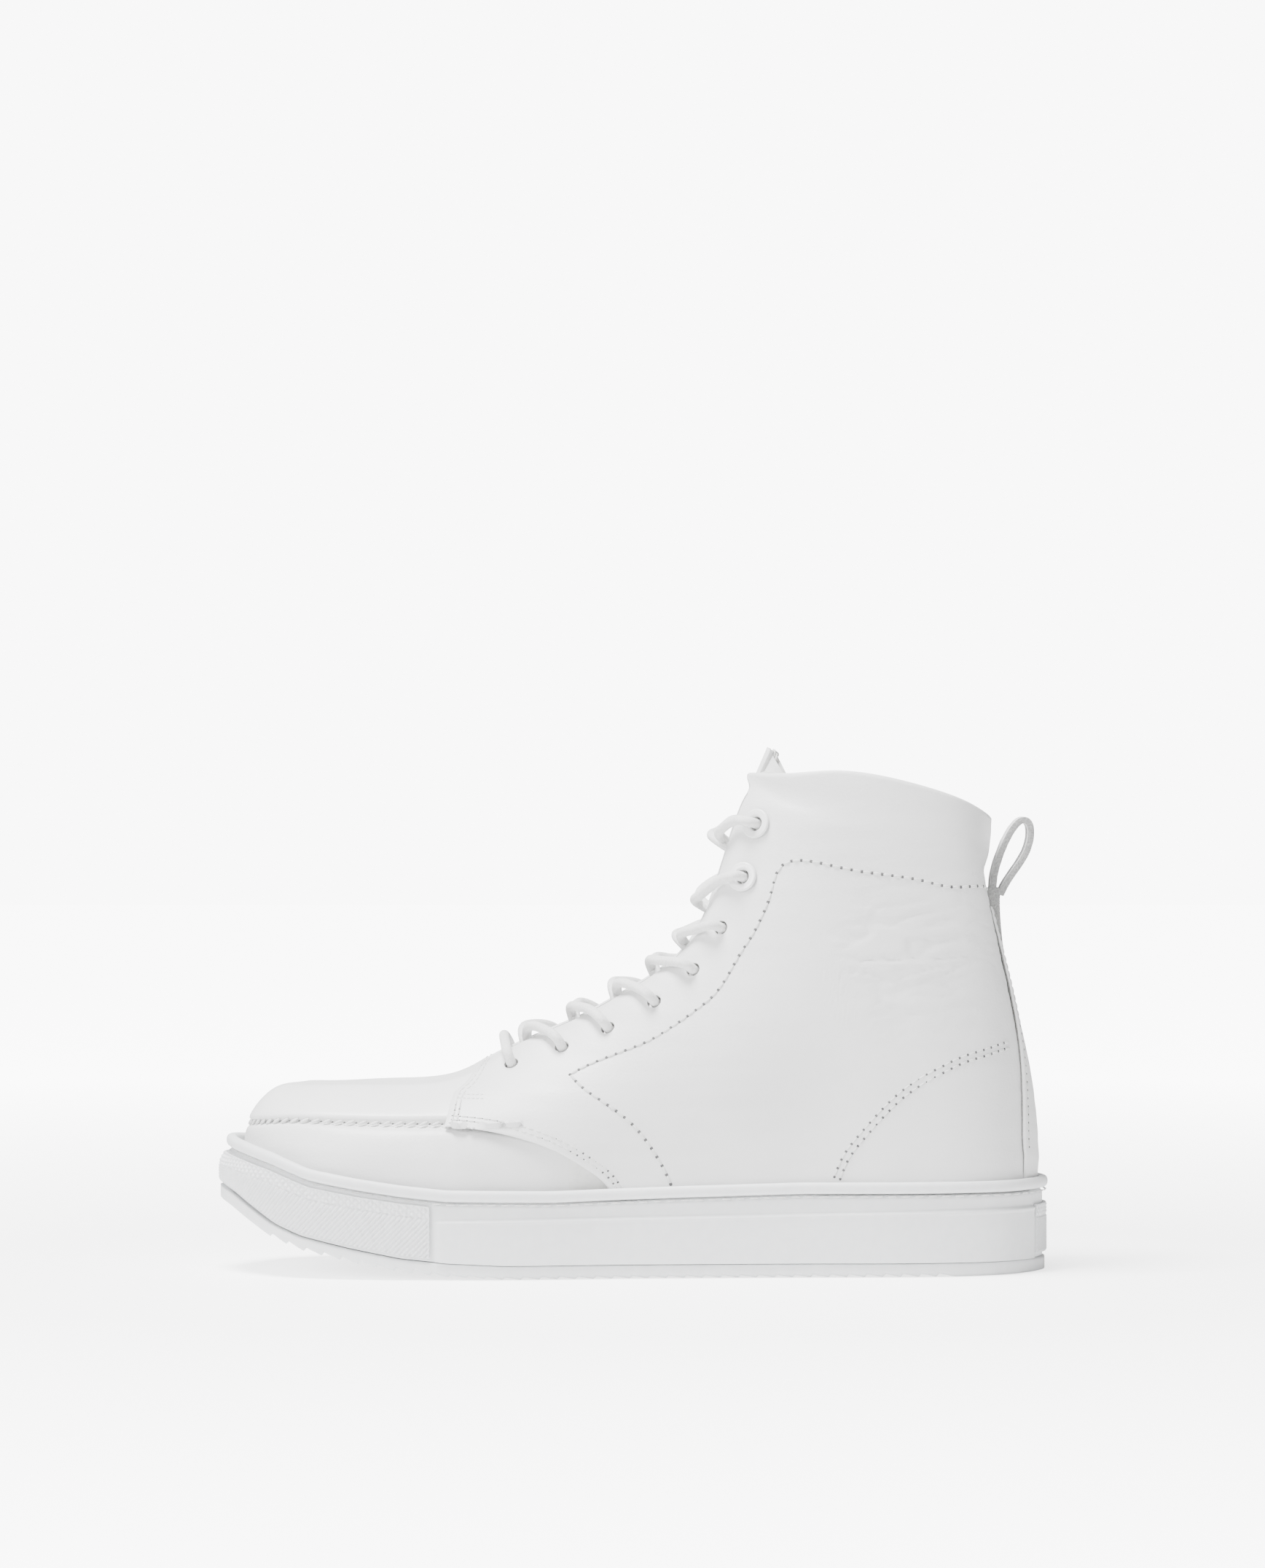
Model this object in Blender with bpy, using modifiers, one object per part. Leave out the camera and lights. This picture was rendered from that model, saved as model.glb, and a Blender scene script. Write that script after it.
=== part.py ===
# Basketball high top, left shoe: toe towards -X, lateral side at -Y, metres, +Z up.
# The leather pieces all lie on one surface, the last, at their own levels above or below it.
import math

import bmesh
import bpy
import numpy as np
from mathutils import Vector

MM = 0.001

# Driving sizes
LENGTH = 0.300
WIDTH = 0.108
HEIGHT = 0.188
LEATHER = 1.4 * MM
LINING = 1.0 * MM
QUARTER_LINING = 1.4 * MM
STIFFENER = 0.8 * MM
SOLE_WALL = 3.6 * MM
TOE_WALL = 7.0 * MM
TOE_SHOULDER = 10.5 * MM
BUMPER = 1.3 * MM
BEAD_HEIGHT = 4.1 * MM
BEAD_PROUD = 0.3 * MM
TREAD_PITCH = 6.4 * MM
TREAD_DEPTH = 1.1 * MM
OUTSOLE = 4.5 * MM
BOARD = 1.6 * MM
FOOTBED = 4.0 * MM
HOLE_RADIUS = 2.6 * MM
EYELET_RADIUS = 5.4 * MM
EYELET_WALL = 0.6 * MM
EYELET_LIP = 0.8 * MM
LACE_RADIUS = 1.7 * MM
LACE_STEP = 4.4 * MM
LACE_LEAN = 0.22
LACE_ROWS = 8
EYELET_ROWS = 2
STRAP = 2.4 * MM
STRAP_WIDTH = 13.0 * MM
AGLET_LENGTH = 18.0 * MM
GAP = 0.4 * MM
LAYER_GAP = 0.8 * MM

# Levels of each layer's inner face, measured outwards from the last
QUARTER_LEVEL = 0.0
VAMP_LEVEL = QUARTER_LEVEL - GAP - LEATHER
COUNTER_LEVEL = QUARTER_LEVEL - GAP - STIFFENER
LINING_LEVEL = COUNTER_LEVEL - GAP - QUARTER_LINING
PUFF_LEVEL = VAMP_LEVEL - GAP - STIFFENER
VAMP_LINING_LEVEL = PUFF_LEVEL - GAP - LINING
BACKSTAY_LEVEL = QUARTER_LEVEL + LEATHER + LAYER_GAP
TONGUE_LEVEL = LINING_LEVEL - 2 * LACE_RADIUS - 7 * GAP - LEATHER

# The last, in millimetres at its own size: ribs from the feather line up to the ridge or the rim,
# on the lateral side from the middle of the toe to the middle of the heel.
LAST_LENGTH, LAST_WIDTH, LAST_HEIGHT = 300.0, 108.0, 188.0
RIBS = [
    [(-141, 0, 38), (-140, 0, 50), (-134.5, 0, 60), (-128, 0, 65.2), (-119, 0, 67)],
    [(-136, -20, 37), (-134.5, -19.5, 49), (-130, -16.5, 59), (-123, -10, 65), (-114, 0, 67.1)],
    [(-122, -37, 34), (-120.5, -36.5, 46), (-117, -31, 57), (-111, -18, 65), (-104, 0, 67.1)],
    [(-98, -46, 28), (-97, -46.5, 41), (-94, -40.5, 54), (-90, -24, 64.5), (-86, 0, 67.9)],
    [(-70, -48.5, 24), (-69.5, -49, 38), (-68, -42.5, 54), (-66, -25, 66), (-64, 0, 70)],
    [(-42, -47.5, 22.5), (-42, -47.5, 38), (-42, -42, 56), (-43, -25, 73), (-45, 0, 80)],
    [(-12, -43, 22.5), (-13, -43.5, 40), (-15, -39, 63), (-17, -24, 83), (-20, 0, 92)],
    [(15, -40.3, 23), (13.5, -40, 43), (10, -37, 70), (5, -25, 95), (0, 0, 103.5)],
    [(42, -38.4, 24), (40, -38, 48), (34, -36.5, 80), (24, -25, 109), (16, 0, 115.5)],
    [(66, -37.2, 24.5), (62, -37, 55), (54, -35.5, 95), (39, -24, 134), (27, 0, 138)],
    [(88, -37, 25), (82, -37, 62), (71, -35, 110), (54, -26, 151), (36, 0, 173)],
    [(104, -35.6, 25.3), (99, -36, 66), (85, -34.5, 115), (67, -30, 155), (50, -19, 178.5)],
    [(117, -33, 25.6), (113, -34, 67), (100, -33.5, 115), (86, -31, 152), (73, -27, 179.5)],
    [(130, -27, 26), (127.5, -27.5, 67), (119, -28, 113), (108, -28.5, 148), (98, -28, 175.5)],
    [(140, -15, 26), (138, -15.5, 67), (131, -16.5, 108), (124, -18.5, 142), (119, -20, 168.5)],
    [(144.4, 0, 26), (142.4, 0, 62), (134.6, 0, 98), (125.5, 0, 134), (128.5, 0, 163)],
]
HEEL = len(RIBS) - 1
ROUND = 2 * HEEL

# Outlines on the lateral side, in millimetres seen from the side, x then z
QUARTER_FRONT = [(-5, 23), (-9, 32), (-16, 38), (-24, 43), (-36, 48), (-51, 51.5), (-65, 53),
                 (-66, 55), (-63.5, 64), (-58.5, 68.5)]
APRON_SEAM = [(-139.6, 52), (-131, 54.5), (-117, 56), (-95, 56), (-66, 55.5), (-52, 55), (-38, 55)]
COUNTER_LINE = [(70, 34), (84, 50), (100, 67), (119, 78), (137, 83)]
BACKSTAY_HALF = [(34, 17.5), (46, 18.5), (60, 17), (79, 14), (100, 12), (125, 9.5), (134, 8)]
THROAT_HALF = [(-58, 10), (-45, 10.5), (0, 13), (20, 13), (30, 12), (40, 12)]
SEAM_AT_TOE = 0.24
BACKSTAY_REACH = (0.065, 0.505)

# Heights along the shoe, x then z
GROUND = [(-152, 27), (-144, 24), (-128, 14), (-118, 10), (-100, 6), (-82, 2.6), (-66, 1.0), (-45, 0),
          (-28, 0), (60, 0), (152, 0)]
WALL_TOP = [(-150, 48.5), (-142, 47), (-130, 44), (-115, 38.5), (-98, 35.5), (-82, 33.2), (-66, 31.5),
            (-28, 31), (20, 32.5), (60, 33.5), (152, 33.5)]

SIZE = np.array([LENGTH / LAST_LENGTH, WIDTH / LAST_WIDTH, HEIGHT / LAST_HEIGHT]) / MM


def second_derivatives(count, periodic):
    """The matrix that gives a cubic spline's second derivatives from its values at whole numbers."""
    left = np.zeros((count, count))
    right = np.zeros((count, count))
    for i in range(count):
        if not periodic and i in (0, count - 1):
            left[i, i] = 1
            continue
        for step, a, b in ((-1, 1, 6), (0, 4, -12), (1, 1, 6)):
            left[i, (i + step) % count] += a
            right[i, (i + step) % count] += b
    return np.linalg.solve(left, right)


def weights(values, count, periodic):
    """Each value's weights on the spline's own points."""
    values = np.asarray(values, float)
    start = np.floor(values).astype(int)
    if not periodic:
        start = np.clip(start, 0, count - 2)
    part = (values - start)[:, None]
    one = np.eye(count)
    bend = second_derivatives(count, periodic)
    a, b = start % count, (start + 1) % count
    rest = 1 - part
    return rest * one[a] + part * one[b] + (rest**3 - rest) / 6 * bend[a] + (part**3 - part) / 6 * bend[b]


def medial(point):
    """The medial side bulges at the ball and pulls in at the waist."""
    x, y, z = point
    fuller = 0.018 * math.exp(-(((x + 105) / 30) ** 2)) - 0.09 * math.exp(-(((x - 22) / 40) ** 2))
    return (x, -y * (1 + fuller), z)


def with_shoulder(rib):
    """Adds a level below the top one, so that the ridge over the toe and instep is blunt."""
    side, top = np.array(rib[-2], float), np.array(rib[-1], float)
    on_ridge = rib is not RIBS[HEEL] and rib[-1][1] == 0
    share = np.array([0.36, 0.62, 0.36] if on_ridge else [0.5, 0.5, 0.5])
    return rib[:-1] + [tuple(top + (side - top) * share), rib[-1]]


LATERAL = [with_shoulder(rib) for rib in RIBS]
CAGE = np.array(LATERAL + [[medial(p) for p in LATERAL[i]] for i in range(HEEL - 1, 0, -1)]) * SIZE * MM
LEVELS = len(LATERAL[0])


def on_last(s, t):
    """Points of the last: s counts ribs round the shoe, t goes from 0 at the feather line to 1."""
    s, t = np.broadcast_arrays(np.asarray(s, float), np.asarray(t, float))
    around = weights(s.ravel(), ROUND, True)
    up = weights(t.ravel() * (LEVELS - 1), LEVELS, False)
    return np.einsum("ni,nj,ijk->nk", around, up, CAGE).reshape(s.shape + (3,))


def outward(s, t):
    step = 0.01
    along = on_last(np.add(s, step), t) - on_last(np.subtract(s, step), t)
    up = on_last(s, np.minimum(np.add(t, step), 1)) - on_last(s, np.maximum(np.subtract(t, step), 0))
    normal = np.cross(along, up)
    return normal / np.maximum(np.linalg.norm(normal, axis=-1, keepdims=True), 1e-12)


def raised(s, t, level):
    return on_last(s, t) + outward(s, t) * level


def curve(table, x):
    """A height or width read from a table in millimetres at the last's own size, straight between rows."""
    xs, values = np.array(table, float).T
    return np.interp(x, xs, values)


def wall_top(x):
    return curve(WALL_TOP, np.asarray(x) / SIZE[0] / MM) * SIZE[2] * MM


def ground(x):
    return curve(GROUND, np.asarray(x) / SIZE[0] / MM) * SIZE[2] * MM


LATTICE_S, LATTICE_T = np.meshgrid(np.linspace(0, HEEL, 241), np.linspace(0, 1, 61), indexing="ij")
LATTICE = on_last(LATTICE_S, LATTICE_T)


def locate(points):
    """The (s, t) of side-view points in millimetres, on the lateral side."""
    found = []
    for x, z in points:
        goal = np.array([x * SIZE[0], z * SIZE[2]]) * MM
        distance = np.linalg.norm(LATTICE[..., [0, 2]] - goal, axis=-1)
        i = np.unravel_index(distance.argmin(), distance.shape)
        s, t = LATTICE_S[i], LATTICE_T[i]
        for _ in range(6):
            here = on_last(s, t)[[0, 2]]
            by_s = (on_last(s + 0.01, t)[[0, 2]] - here) / 0.01
            by_t = (on_last(s, t + 0.001)[[0, 2]] - here) / 0.001
            step = np.linalg.lstsq(np.column_stack([by_s, by_t]), goal - here, rcond=1e-3)[0]
            s = float(np.clip(s + np.clip(step[0], -0.2, 0.2), 0, HEEL))
            t = float(np.clip(t + np.clip(step[1], -0.05, 0.05), 0, 1))
        found.append((s, t))
    return found


def resample(points, count, bend=True):
    """Points evenly spaced, measured on the last, on a smooth curve through (s, t) points."""
    points = np.array(points, float)
    if bend and len(points) > 2:
        fine = np.linspace(0, len(points) - 1, 12 * len(points))
        points = weights(fine, len(points), False) @ points
        points[:, 1] = np.clip(points[:, 1], 0, 1)
    places = on_last(points[:, 0], points[:, 1])
    run = np.concatenate([[0], np.cumsum(np.linalg.norm(np.diff(places, axis=0), axis=1))])
    at = np.linspace(0, run[-1], count)
    return np.column_stack([np.interp(at, run, points[:, k]) for k in (0, 1)])


def patch(left, right, bottom, top, across, up):
    """A Coons patch in (s, t), as an (across + 1, up + 1, 2) array."""
    left, right = resample(left, up + 1), resample(right, up + 1)
    bottom, top = resample(bottom, across + 1), resample(top, across + 1)
    u = np.linspace(0, 1, across + 1)[:, None, None]
    v = np.linspace(0, 1, up + 1)[None, :, None]
    sides = (1 - u) * left[None] + u * right[None] + (1 - v) * bottom[:, None] + v * top[:, None]
    low = (1 - v) * ((1 - u) * bottom[0] + u * bottom[-1])
    high = v * ((1 - u) * top[0] + u * top[-1])
    return sides - low - high


def throat_edge(s, spare=0.0):
    """The t at which rib s meets the throat's edge."""
    t = np.linspace(0.5, 1, 400)
    places = on_last(np.full_like(t, s), t)
    half = curve(THROAT_HALF, places[:, 0] / SIZE[0] / MM) * SIZE[1] * MM + spare
    inside = np.abs(places[:, 1]) < half
    return float(t[inside.argmax()])


THROAT_FOOT = locate([(-54, 72)])[0][0]
THROAT_HEAD = 10.55


def throat(spare=0.0, start=THROAT_FOOT, count=9):
    """The throat edge from its foot up to the rim."""
    along = np.linspace(start, THROAT_HEAD - 0.25, count)
    edge = [(s, throat_edge(s, spare)) for s in along]
    return edge + [(THROAT_HEAD + spare * 30, 1.0)]


MATERIALS = {
    "leather": ((0.83, 0.83, 0.82), 0.45, 0.0),
    "lining": ((0.80, 0.80, 0.78), 0.8, 0.0),
    "board": ((0.62, 0.58, 0.50), 0.85, 0.0),
    "rubber": ((0.80, 0.81, 0.81), 0.55, 0.0),
    "metal": ((0.85, 0.85, 0.84), 0.3, 0.6),
    "cotton": ((0.86, 0.86, 0.85), 0.9, 0.0),
    "plastic": ((0.80, 0.80, 0.80), 0.35, 0.0),
}
parts = bpy.data.collections.new("basketball_high_top")
cutters = bpy.data.collections.new("cutters")


def facets(count):
    """A number of facets along the shoe, in step with its length."""
    return max(count, round(count * SIZE[0]))


def start_scene():
    for old in list(bpy.data.objects):
        bpy.data.objects.remove(old, do_unlink=True)
    for collection in (parts, cutters):
        bpy.context.scene.collection.children.link(collection)


def material(name, kind):
    colour, roughness, metallic = MATERIALS[kind]
    made = bpy.data.materials.new(name + "_" + kind)
    made.use_nodes = True
    shader = made.node_tree.nodes["Principled BSDF"]
    shader.inputs["Base Color"].default_value = (*colour, 1)
    shader.inputs["Roughness"].default_value = roughness
    shader.inputs["Metallic"].default_value = metallic
    return made


def finish_object(bm, name, kind, collection=parts):
    mesh = bpy.data.meshes.new(name)
    bm.to_mesh(mesh)
    bm.free()
    mesh.shade_smooth()
    made = bpy.data.objects.new(name, mesh)
    collection.objects.link(made)
    made.data.materials.append(material(name, kind))
    if collection is cutters:
        made.hide_render = True
        made.display_type = "WIRE"
    return made


def grid(across, up):
    """A grid in bmesh with each vertex's place in it, from 0 to 1 both ways."""
    bm = bmesh.new()
    bmesh.ops.create_grid(bm, x_segments=across, y_segments=up, size=0.5)
    return bm, [(v, v.co.x + 0.5, v.co.y + 0.5) for v in bm.verts]


def solidify(made, thickness, offset=1.0):
    modifier = made.modifiers.new("thickness", "SOLIDIFY")
    modifier.thickness = thickness
    modifier.offset = offset
    modifier.use_even_offset = False
    return made


def shell(name, kind, places, level, thickness):
    """A leather piece: a patch of the last at its level, with a thickness outwards."""
    across, up = places.shape[0] - 1, places.shape[1] - 1
    points = raised(places[..., 0], places[..., 1], level)
    bm, verts = grid(across, up)
    for vert, u, v in verts:
        vert.co = points[round(u * across), round(v * up)]
    return solidify(finish_object(bm, name, kind), thickness)


def sweep(name, kind, section, across, up, closed):
    """A solid whose closed section runs along the shoe: section(u, v) gives its points."""
    bm, verts = grid(across, up)
    for vert, u, v in verts:
        vert.co = section(0.0 if closed and u > 0.9999 else u, 0.0 if v > 0.9999 else v)
    bmesh.ops.remove_doubles(bm, verts=bm.verts, dist=1e-7)
    if not closed:
        bmesh.ops.holes_fill(bm, edges=[e for e in bm.edges if e.is_boundary], sides=0)
    bmesh.ops.recalc_face_normals(bm, faces=bm.faces)
    return finish_object(bm, name, kind)


def feather(s, out):
    """A point of the feather line, moved outwards in plan."""
    place = on_last(s, 0.0)
    ahead = on_last(s + 0.02, 0.0) - on_last(s - 0.02, 0.0)
    away = np.array([ahead[1], -ahead[0]])
    return place[:2] + away / np.linalg.norm(away) * out


def toe_share(s):
    """1 at the middle of the toe, 0 past the ball."""
    around = min(s % ROUND, ROUND - s % ROUND)
    return max(0.0, 1 - around / 3.0) ** 1.5


WALL_INSIDE = QUARTER_LEVEL + LEATHER + GAP
TOE_REACH, HEEL_REACH = 3.95, 0.95


def wall_out(s):
    side = WALL_INSIDE + SOLE_WALL
    toe = toe_share(s)
    return side * (1 - toe) + toe * (WALL_INSIDE + TOE_WALL)


def recess(s):
    """1 where a bumper is let into the wall, 0 elsewhere."""
    toe = min(s % ROUND, ROUND - s % ROUND)
    heel = abs(s % ROUND - HEEL)
    return float(np.clip(max((TOE_REACH + 0.12 - toe) / 0.06, (HEEL_REACH + 0.12 - heel) / 0.06), 0, 1))


def wall_face(s):
    return wall_out(s) - recess(s) * (BUMPER + GAP)


def lean(s, x, z):
    """How far the toe's wall leans in at height z: nothing up to its shoulder, then up to the bead."""
    shoulder, top = wall_top(x) - TOE_SHOULDER, wall_top(x) - BEAD_HEIGHT
    return (wall_out(s) - WALL_INSIDE - SOLE_WALL) * float(np.clip((z - shoulder) / (top - shoulder), 0, 1))


def outline(out):
    """The plan outline as two curves of y over x, lateral and medial. out is a distance or f(s)."""
    sides = []
    for ends in ((0.0, HEEL), (ROUND, HEEL)):
        steps = np.linspace(*ends, 200)
        places = np.array([feather(s, out(s) if callable(out) else out) for s in steps])
        order = places[:, 0].argsort()
        sides.append(places[order])
    return sides


def plate(name, kind, out, bottom, top, stations):
    """A flat piece with the shoe's outline: its bottom and top are heights f(x)."""
    lateral, inner = outline(out)
    low = max(lateral[0, 0], inner[0, 0]) + 1.0 * MM
    high = min(lateral[-1, 0], inner[-1, 0]) - 1.0 * MM
    xs = [x for x in stations if low < x < high]
    xs = [low, low + 3 * MM] + [x for x in xs if low + 4 * MM < x < high - 4 * MM] + [high - 3 * MM, high]

    def section(u, v):
        x = xs[round(u * (len(xs) - 1))]
        side = (lateral, inner, inner, lateral)[round(v * 4) % 4]
        height = (bottom, bottom, top, top)[round(v * 4) % 4]
        return (x, np.interp(x, side[:, 0], side[:, 1]), float(height(x)))

    return sweep(name, kind, section, len(xs) - 1, 4, False)


def feather_height(x):
    """The height of the feather line at x."""
    steps = np.linspace(0, HEEL, 100)
    places = on_last(steps, np.zeros_like(steps))
    return np.interp(x, places[:, 0], places[:, 2])


TREAD_REACH = (-0.43 * LENGTH, 0.38 * LENGTH)


def tread(x):
    """The outsole's underside: teeth that slope down towards the heel, then step up."""
    start, end = TREAD_REACH
    if not start < x < end:
        return ground(x)
    phase = ((x - start) / TREAD_PITCH) % 1.0
    return ground(x) + TREAD_DEPTH * (1 - phase)


def tread_stations():
    start, end = TREAD_REACH
    teeth = int((end - start) / TREAD_PITCH)
    crests = [start + TREAD_PITCH * i for i in range(1, teeth)]
    ends = [start - 12 * MM, start - 8 * MM, start - 4 * MM, end + 4 * MM, end + 12 * MM, end + 20 * MM,
            end + 26 * MM]
    return sorted(ends + [x - 0.15 * MM for x in crests] + [x + 0.15 * MM for x in crests])


def stations(step):
    return list(np.arange(-LENGTH / 2, LENGTH / 2, step))


def make_sole():
    plate("outsole", "rubber", lambda s: wall_out(s) - 0.8 * MM, tread,
          lambda x: ground(x) + OUTSOLE, tread_stations())

    def wall(u, v):
        s = u * ROUND
        inner, x = feather(s, WALL_INSIDE), feather(s, wall_out(s))[0]
        low, high = ground(x) + OUTSOLE + GAP, wall_top(x) - BEAD_HEIGHT - GAP
        shoulder = wall_top(x) - TOE_SHOULDER
        outer = feather(s, wall_face(s))
        upper = feather(s, wall_face(s) - lean(s, x, high))
        corner = round(v * 5) % 5
        place = (inner, outer, outer, upper, inner)[corner]
        return (*place, (low, low, shoulder, high, high)[corner])

    sweep("sidewall", "rubber", wall, 75, 5, True)

    def bead(u, v):
        s = u * ROUND
        half = (SOLE_WALL + BEAD_PROUD) / 2
        middle = WALL_INSIDE + half
        angle = 2 * math.pi * round(v * 6) / 6
        place = feather(s, middle + half * math.copysign(abs(math.cos(angle)) ** 0.6, math.cos(angle)))
        height = BEAD_HEIGHT / 2
        z = wall_top(feather(s, wall_out(s))[0]) - height + height * math.sin(angle)
        return (*place, z)

    sweep("welt_bead", "rubber", bead, 60, 6, True)

    def bumper(reach, middle, low, high):
        def section(u, v):
            s = middle + reach * (2 * u - 1)
            x = feather(s, wall_out(s))[0]
            bottom, shoulder = ground(x) + OUTSOLE + low, wall_top(x) - TOE_SHOULDER
            top = wall_top(x) - BEAD_HEIGHT - high
            corner = round(v * 6) % 6
            z = (bottom, bottom, shoulder, top, top, shoulder)[corner]
            out = wall_out(s) - (0 if 1 <= corner <= 3 else BUMPER) - lean(s, x, z)
            return (*feather(s, out), z)
        return section

    sweep("toe_bumper", "rubber", bumper(TOE_REACH, 0.0, 1.5 * MM, 2.2 * MM), 28, 6, False)
    sweep("heel_bumper", "rubber", bumper(HEEL_REACH, float(HEEL), 2.0 * MM, 5.5 * MM), 10, 6, False)
    plate("midsole", "board", WALL_INSIDE - GAP, lambda x: ground(x) + OUTSOLE + LAYER_GAP,
          lambda x: feather_height(x) - 1.5 * GAP, stations(8 * MM))
    inside = VAMP_LINING_LEVEL - 2 * GAP
    plate("lasting_board", "board", inside, lambda x: feather_height(x),
          lambda x: feather_height(x) + BOARD, stations(12 * MM))
    plate("footbed", "lining", inside - 0.6 * MM, lambda x: feather_height(x) + BOARD + GAP,
          lambda x: feather_height(x) + BOARD + GAP + FOOTBED, stations(12 * MM))


def mirror_patch(places):
    """The same patch on the medial side."""
    flipped = places[::-1].copy()
    flipped[..., 0] = ROUND - flipped[..., 0]
    return flipped


def seam(spare=0.0, count=25, reach=6.3):
    """The apron's seam round the toe, medial to lateral, as (s, t) with s from -reach to reach."""
    line = np.array([(0.0, SEAM_AT_TOE)] + locate(APRON_SEAM)[1:])
    s = np.linspace(-reach, reach, count)
    return [(k, float(np.interp(abs(k), line[:, 0], line[:, 1])) + spare) for k in s]


def make_toe():
    rows = np.array(seam(-0.006, 37, 6.3))
    places = np.stack([np.column_stack([rows[:, 0], rows[:, 1] * v]) for v in np.linspace(0, 1, 5)], axis=1)
    shell("vamp", "leather", places, VAMP_LEVEL, LEATHER)
    shell("vamp_lining", "lining", places[1:-1], VAMP_LINING_LEVEL, LINING)
    puff = np.array(seam(-0.03, 21, 2.6))
    places = np.stack([np.column_stack([puff[:, 0], 0.04 + (puff[:, 1] - 0.04) * v])
                       for v in np.linspace(0, 1, 5)], axis=1)
    shell("toe_puff", "board", places, PUFF_LEVEL, STIFFENER)
    make_apron("apron", "leather", VAMP_LEVEL, LEATHER, 4.5)
    make_apron("apron_lining", "lining", VAMP_LINING_LEVEL, LINING, 4.4)


def make_apron(name, kind, level, thickness, reach):
    """The plug over the toe: rows across from seam to seam, over the ridge."""
    across, along = 10, facets(12)
    bm, verts = grid(along, across)
    line = np.array(seam(0.012, 61, reach))
    for vert, u, v in verts:
        s = reach * u
        side = 1 if v < 0.5 else -1
        edge = float(np.interp(s, line[:, 0], line[:, 1]))
        t = edge + (1 - edge) * (1 - abs(2 * v - 1)) * 0.995
        place = raised(side * s, t, level)
        vert.co = place * np.array([1, 0 if u == 0 else 1, 1])
    bmesh.ops.remove_doubles(bm, verts=bm.verts, dist=1e-6)
    made = finish_object(bm, name, kind)
    return solidify(made, thickness)


def make_quarters():
    front = locate(QUARTER_FRONT)
    front.append((THROAT_FOOT, throat_edge(THROAT_FOOT)))
    heel = HEEL - 0.02
    back = [(heel, 0.0), (heel, 0.5), (heel, 1.0)]
    bottom = [(front[0][0], 0.0), (heel, 0.0)]
    front[0] = bottom[0]
    rim = [(s, 1.0) for s in (11.2, 12, 13, 14, heel)]
    quarter = patch(front, back, bottom, throat()[:-1] + [(THROAT_HEAD, 1.0)] + rim, facets(26), 9)
    inset = throat(3.5 * MM, 5.6)
    inner_rim = [(s, 0.985) for s in (11.2, 12, 13, 14, heel)]
    top = inset[:-1] + [(THROAT_HEAD + 0.08, 0.985)] + inner_rim
    lining_front = [(6.45, 0.05), (6.48, 0.25), (6.45, 0.43), (6.1, 0.6), top[0]]
    lining_foot = [(6.45, 0.05), (heel, 0.05)]
    lining = patch(lining_front, [(heel, 0.05), (heel, 0.5), top[-1]], lining_foot, top, 22, 6)
    made = {}
    for side, turn in (("lateral", lambda p: p), ("medial", mirror_patch)):
        made[side] = [
            shell("quarter_" + side, "leather", turn(quarter), QUARTER_LEVEL, LEATHER),
            shell("quarter_lining_" + side, "lining", turn(lining), LINING_LEVEL, QUARTER_LINING),
        ]
    return made


def make_heel():
    counter = locate(COUNTER_LINE)
    reach = HEEL - counter[0][0]
    s = np.linspace(-reach, reach, 25)
    line = np.array(counter)
    tops = np.interp(HEEL - np.abs(s), line[:, 0], line[:, 1])
    places = np.stack([np.column_stack([HEEL + s, 0.03 + (tops - 0.03) * v])
                       for v in np.linspace(0, 1, 6)], axis=1)
    shell("heel_counter", "board", places, COUNTER_LEVEL, STIFFENER)
    rows = []
    for v in np.linspace(*BACKSTAY_REACH, 12):
        height = on_last(float(HEEL), v)[2] / SIZE[2] / MM
        half = curve(BACKSTAY_HALF, height) * MM
        span = 2 * np.linalg.norm(on_last(HEEL + 0.5, v) - on_last(float(HEEL), v))
        rows.append([(HEEL + k * half / span, v) for k in np.linspace(-1, 1, 9)])
    places = np.array(rows).transpose(1, 0, 2)
    shell("backstay", "leather", places, BACKSTAY_LEVEL, LEATHER)


def hole_places():
    """(s, t) of the lateral holes, from the foot of the throat to its head."""
    sides = [(-43, 74), (-25, 80), (-8.5, 87), (8, 96.5), (22, 108), (32, 123), (40, 141), (45, 160)]
    return locate(sides)


def hole_frame(place, side):
    """A hole's middle on the last and its outward direction. side is -1 lateral, 1 medial."""
    s = place[0] if side < 0 else ROUND - place[0]
    return Vector(on_last(s, place[1])), Vector(outward(s, place[1]))


def drill(name, middle, axis, radius, depth):
    bm = bmesh.new()
    bmesh.ops.create_cone(bm, cap_ends=True, segments=10, radius1=radius, radius2=radius, depth=depth)
    turn = axis.to_track_quat("Z", "Y").to_matrix().to_4x4()
    bmesh.ops.transform(bm, matrix=turn, verts=bm.verts)
    bmesh.ops.translate(bm, vec=middle - axis * 0.5 * MM, verts=bm.verts)
    return finish_object(bm, name, "board", cutters)


def cut(target, cutter):
    modifier = target.modifiers.new(cutter.name, "BOOLEAN")
    modifier.operation = "DIFFERENCE"
    modifier.object = cutter


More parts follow.
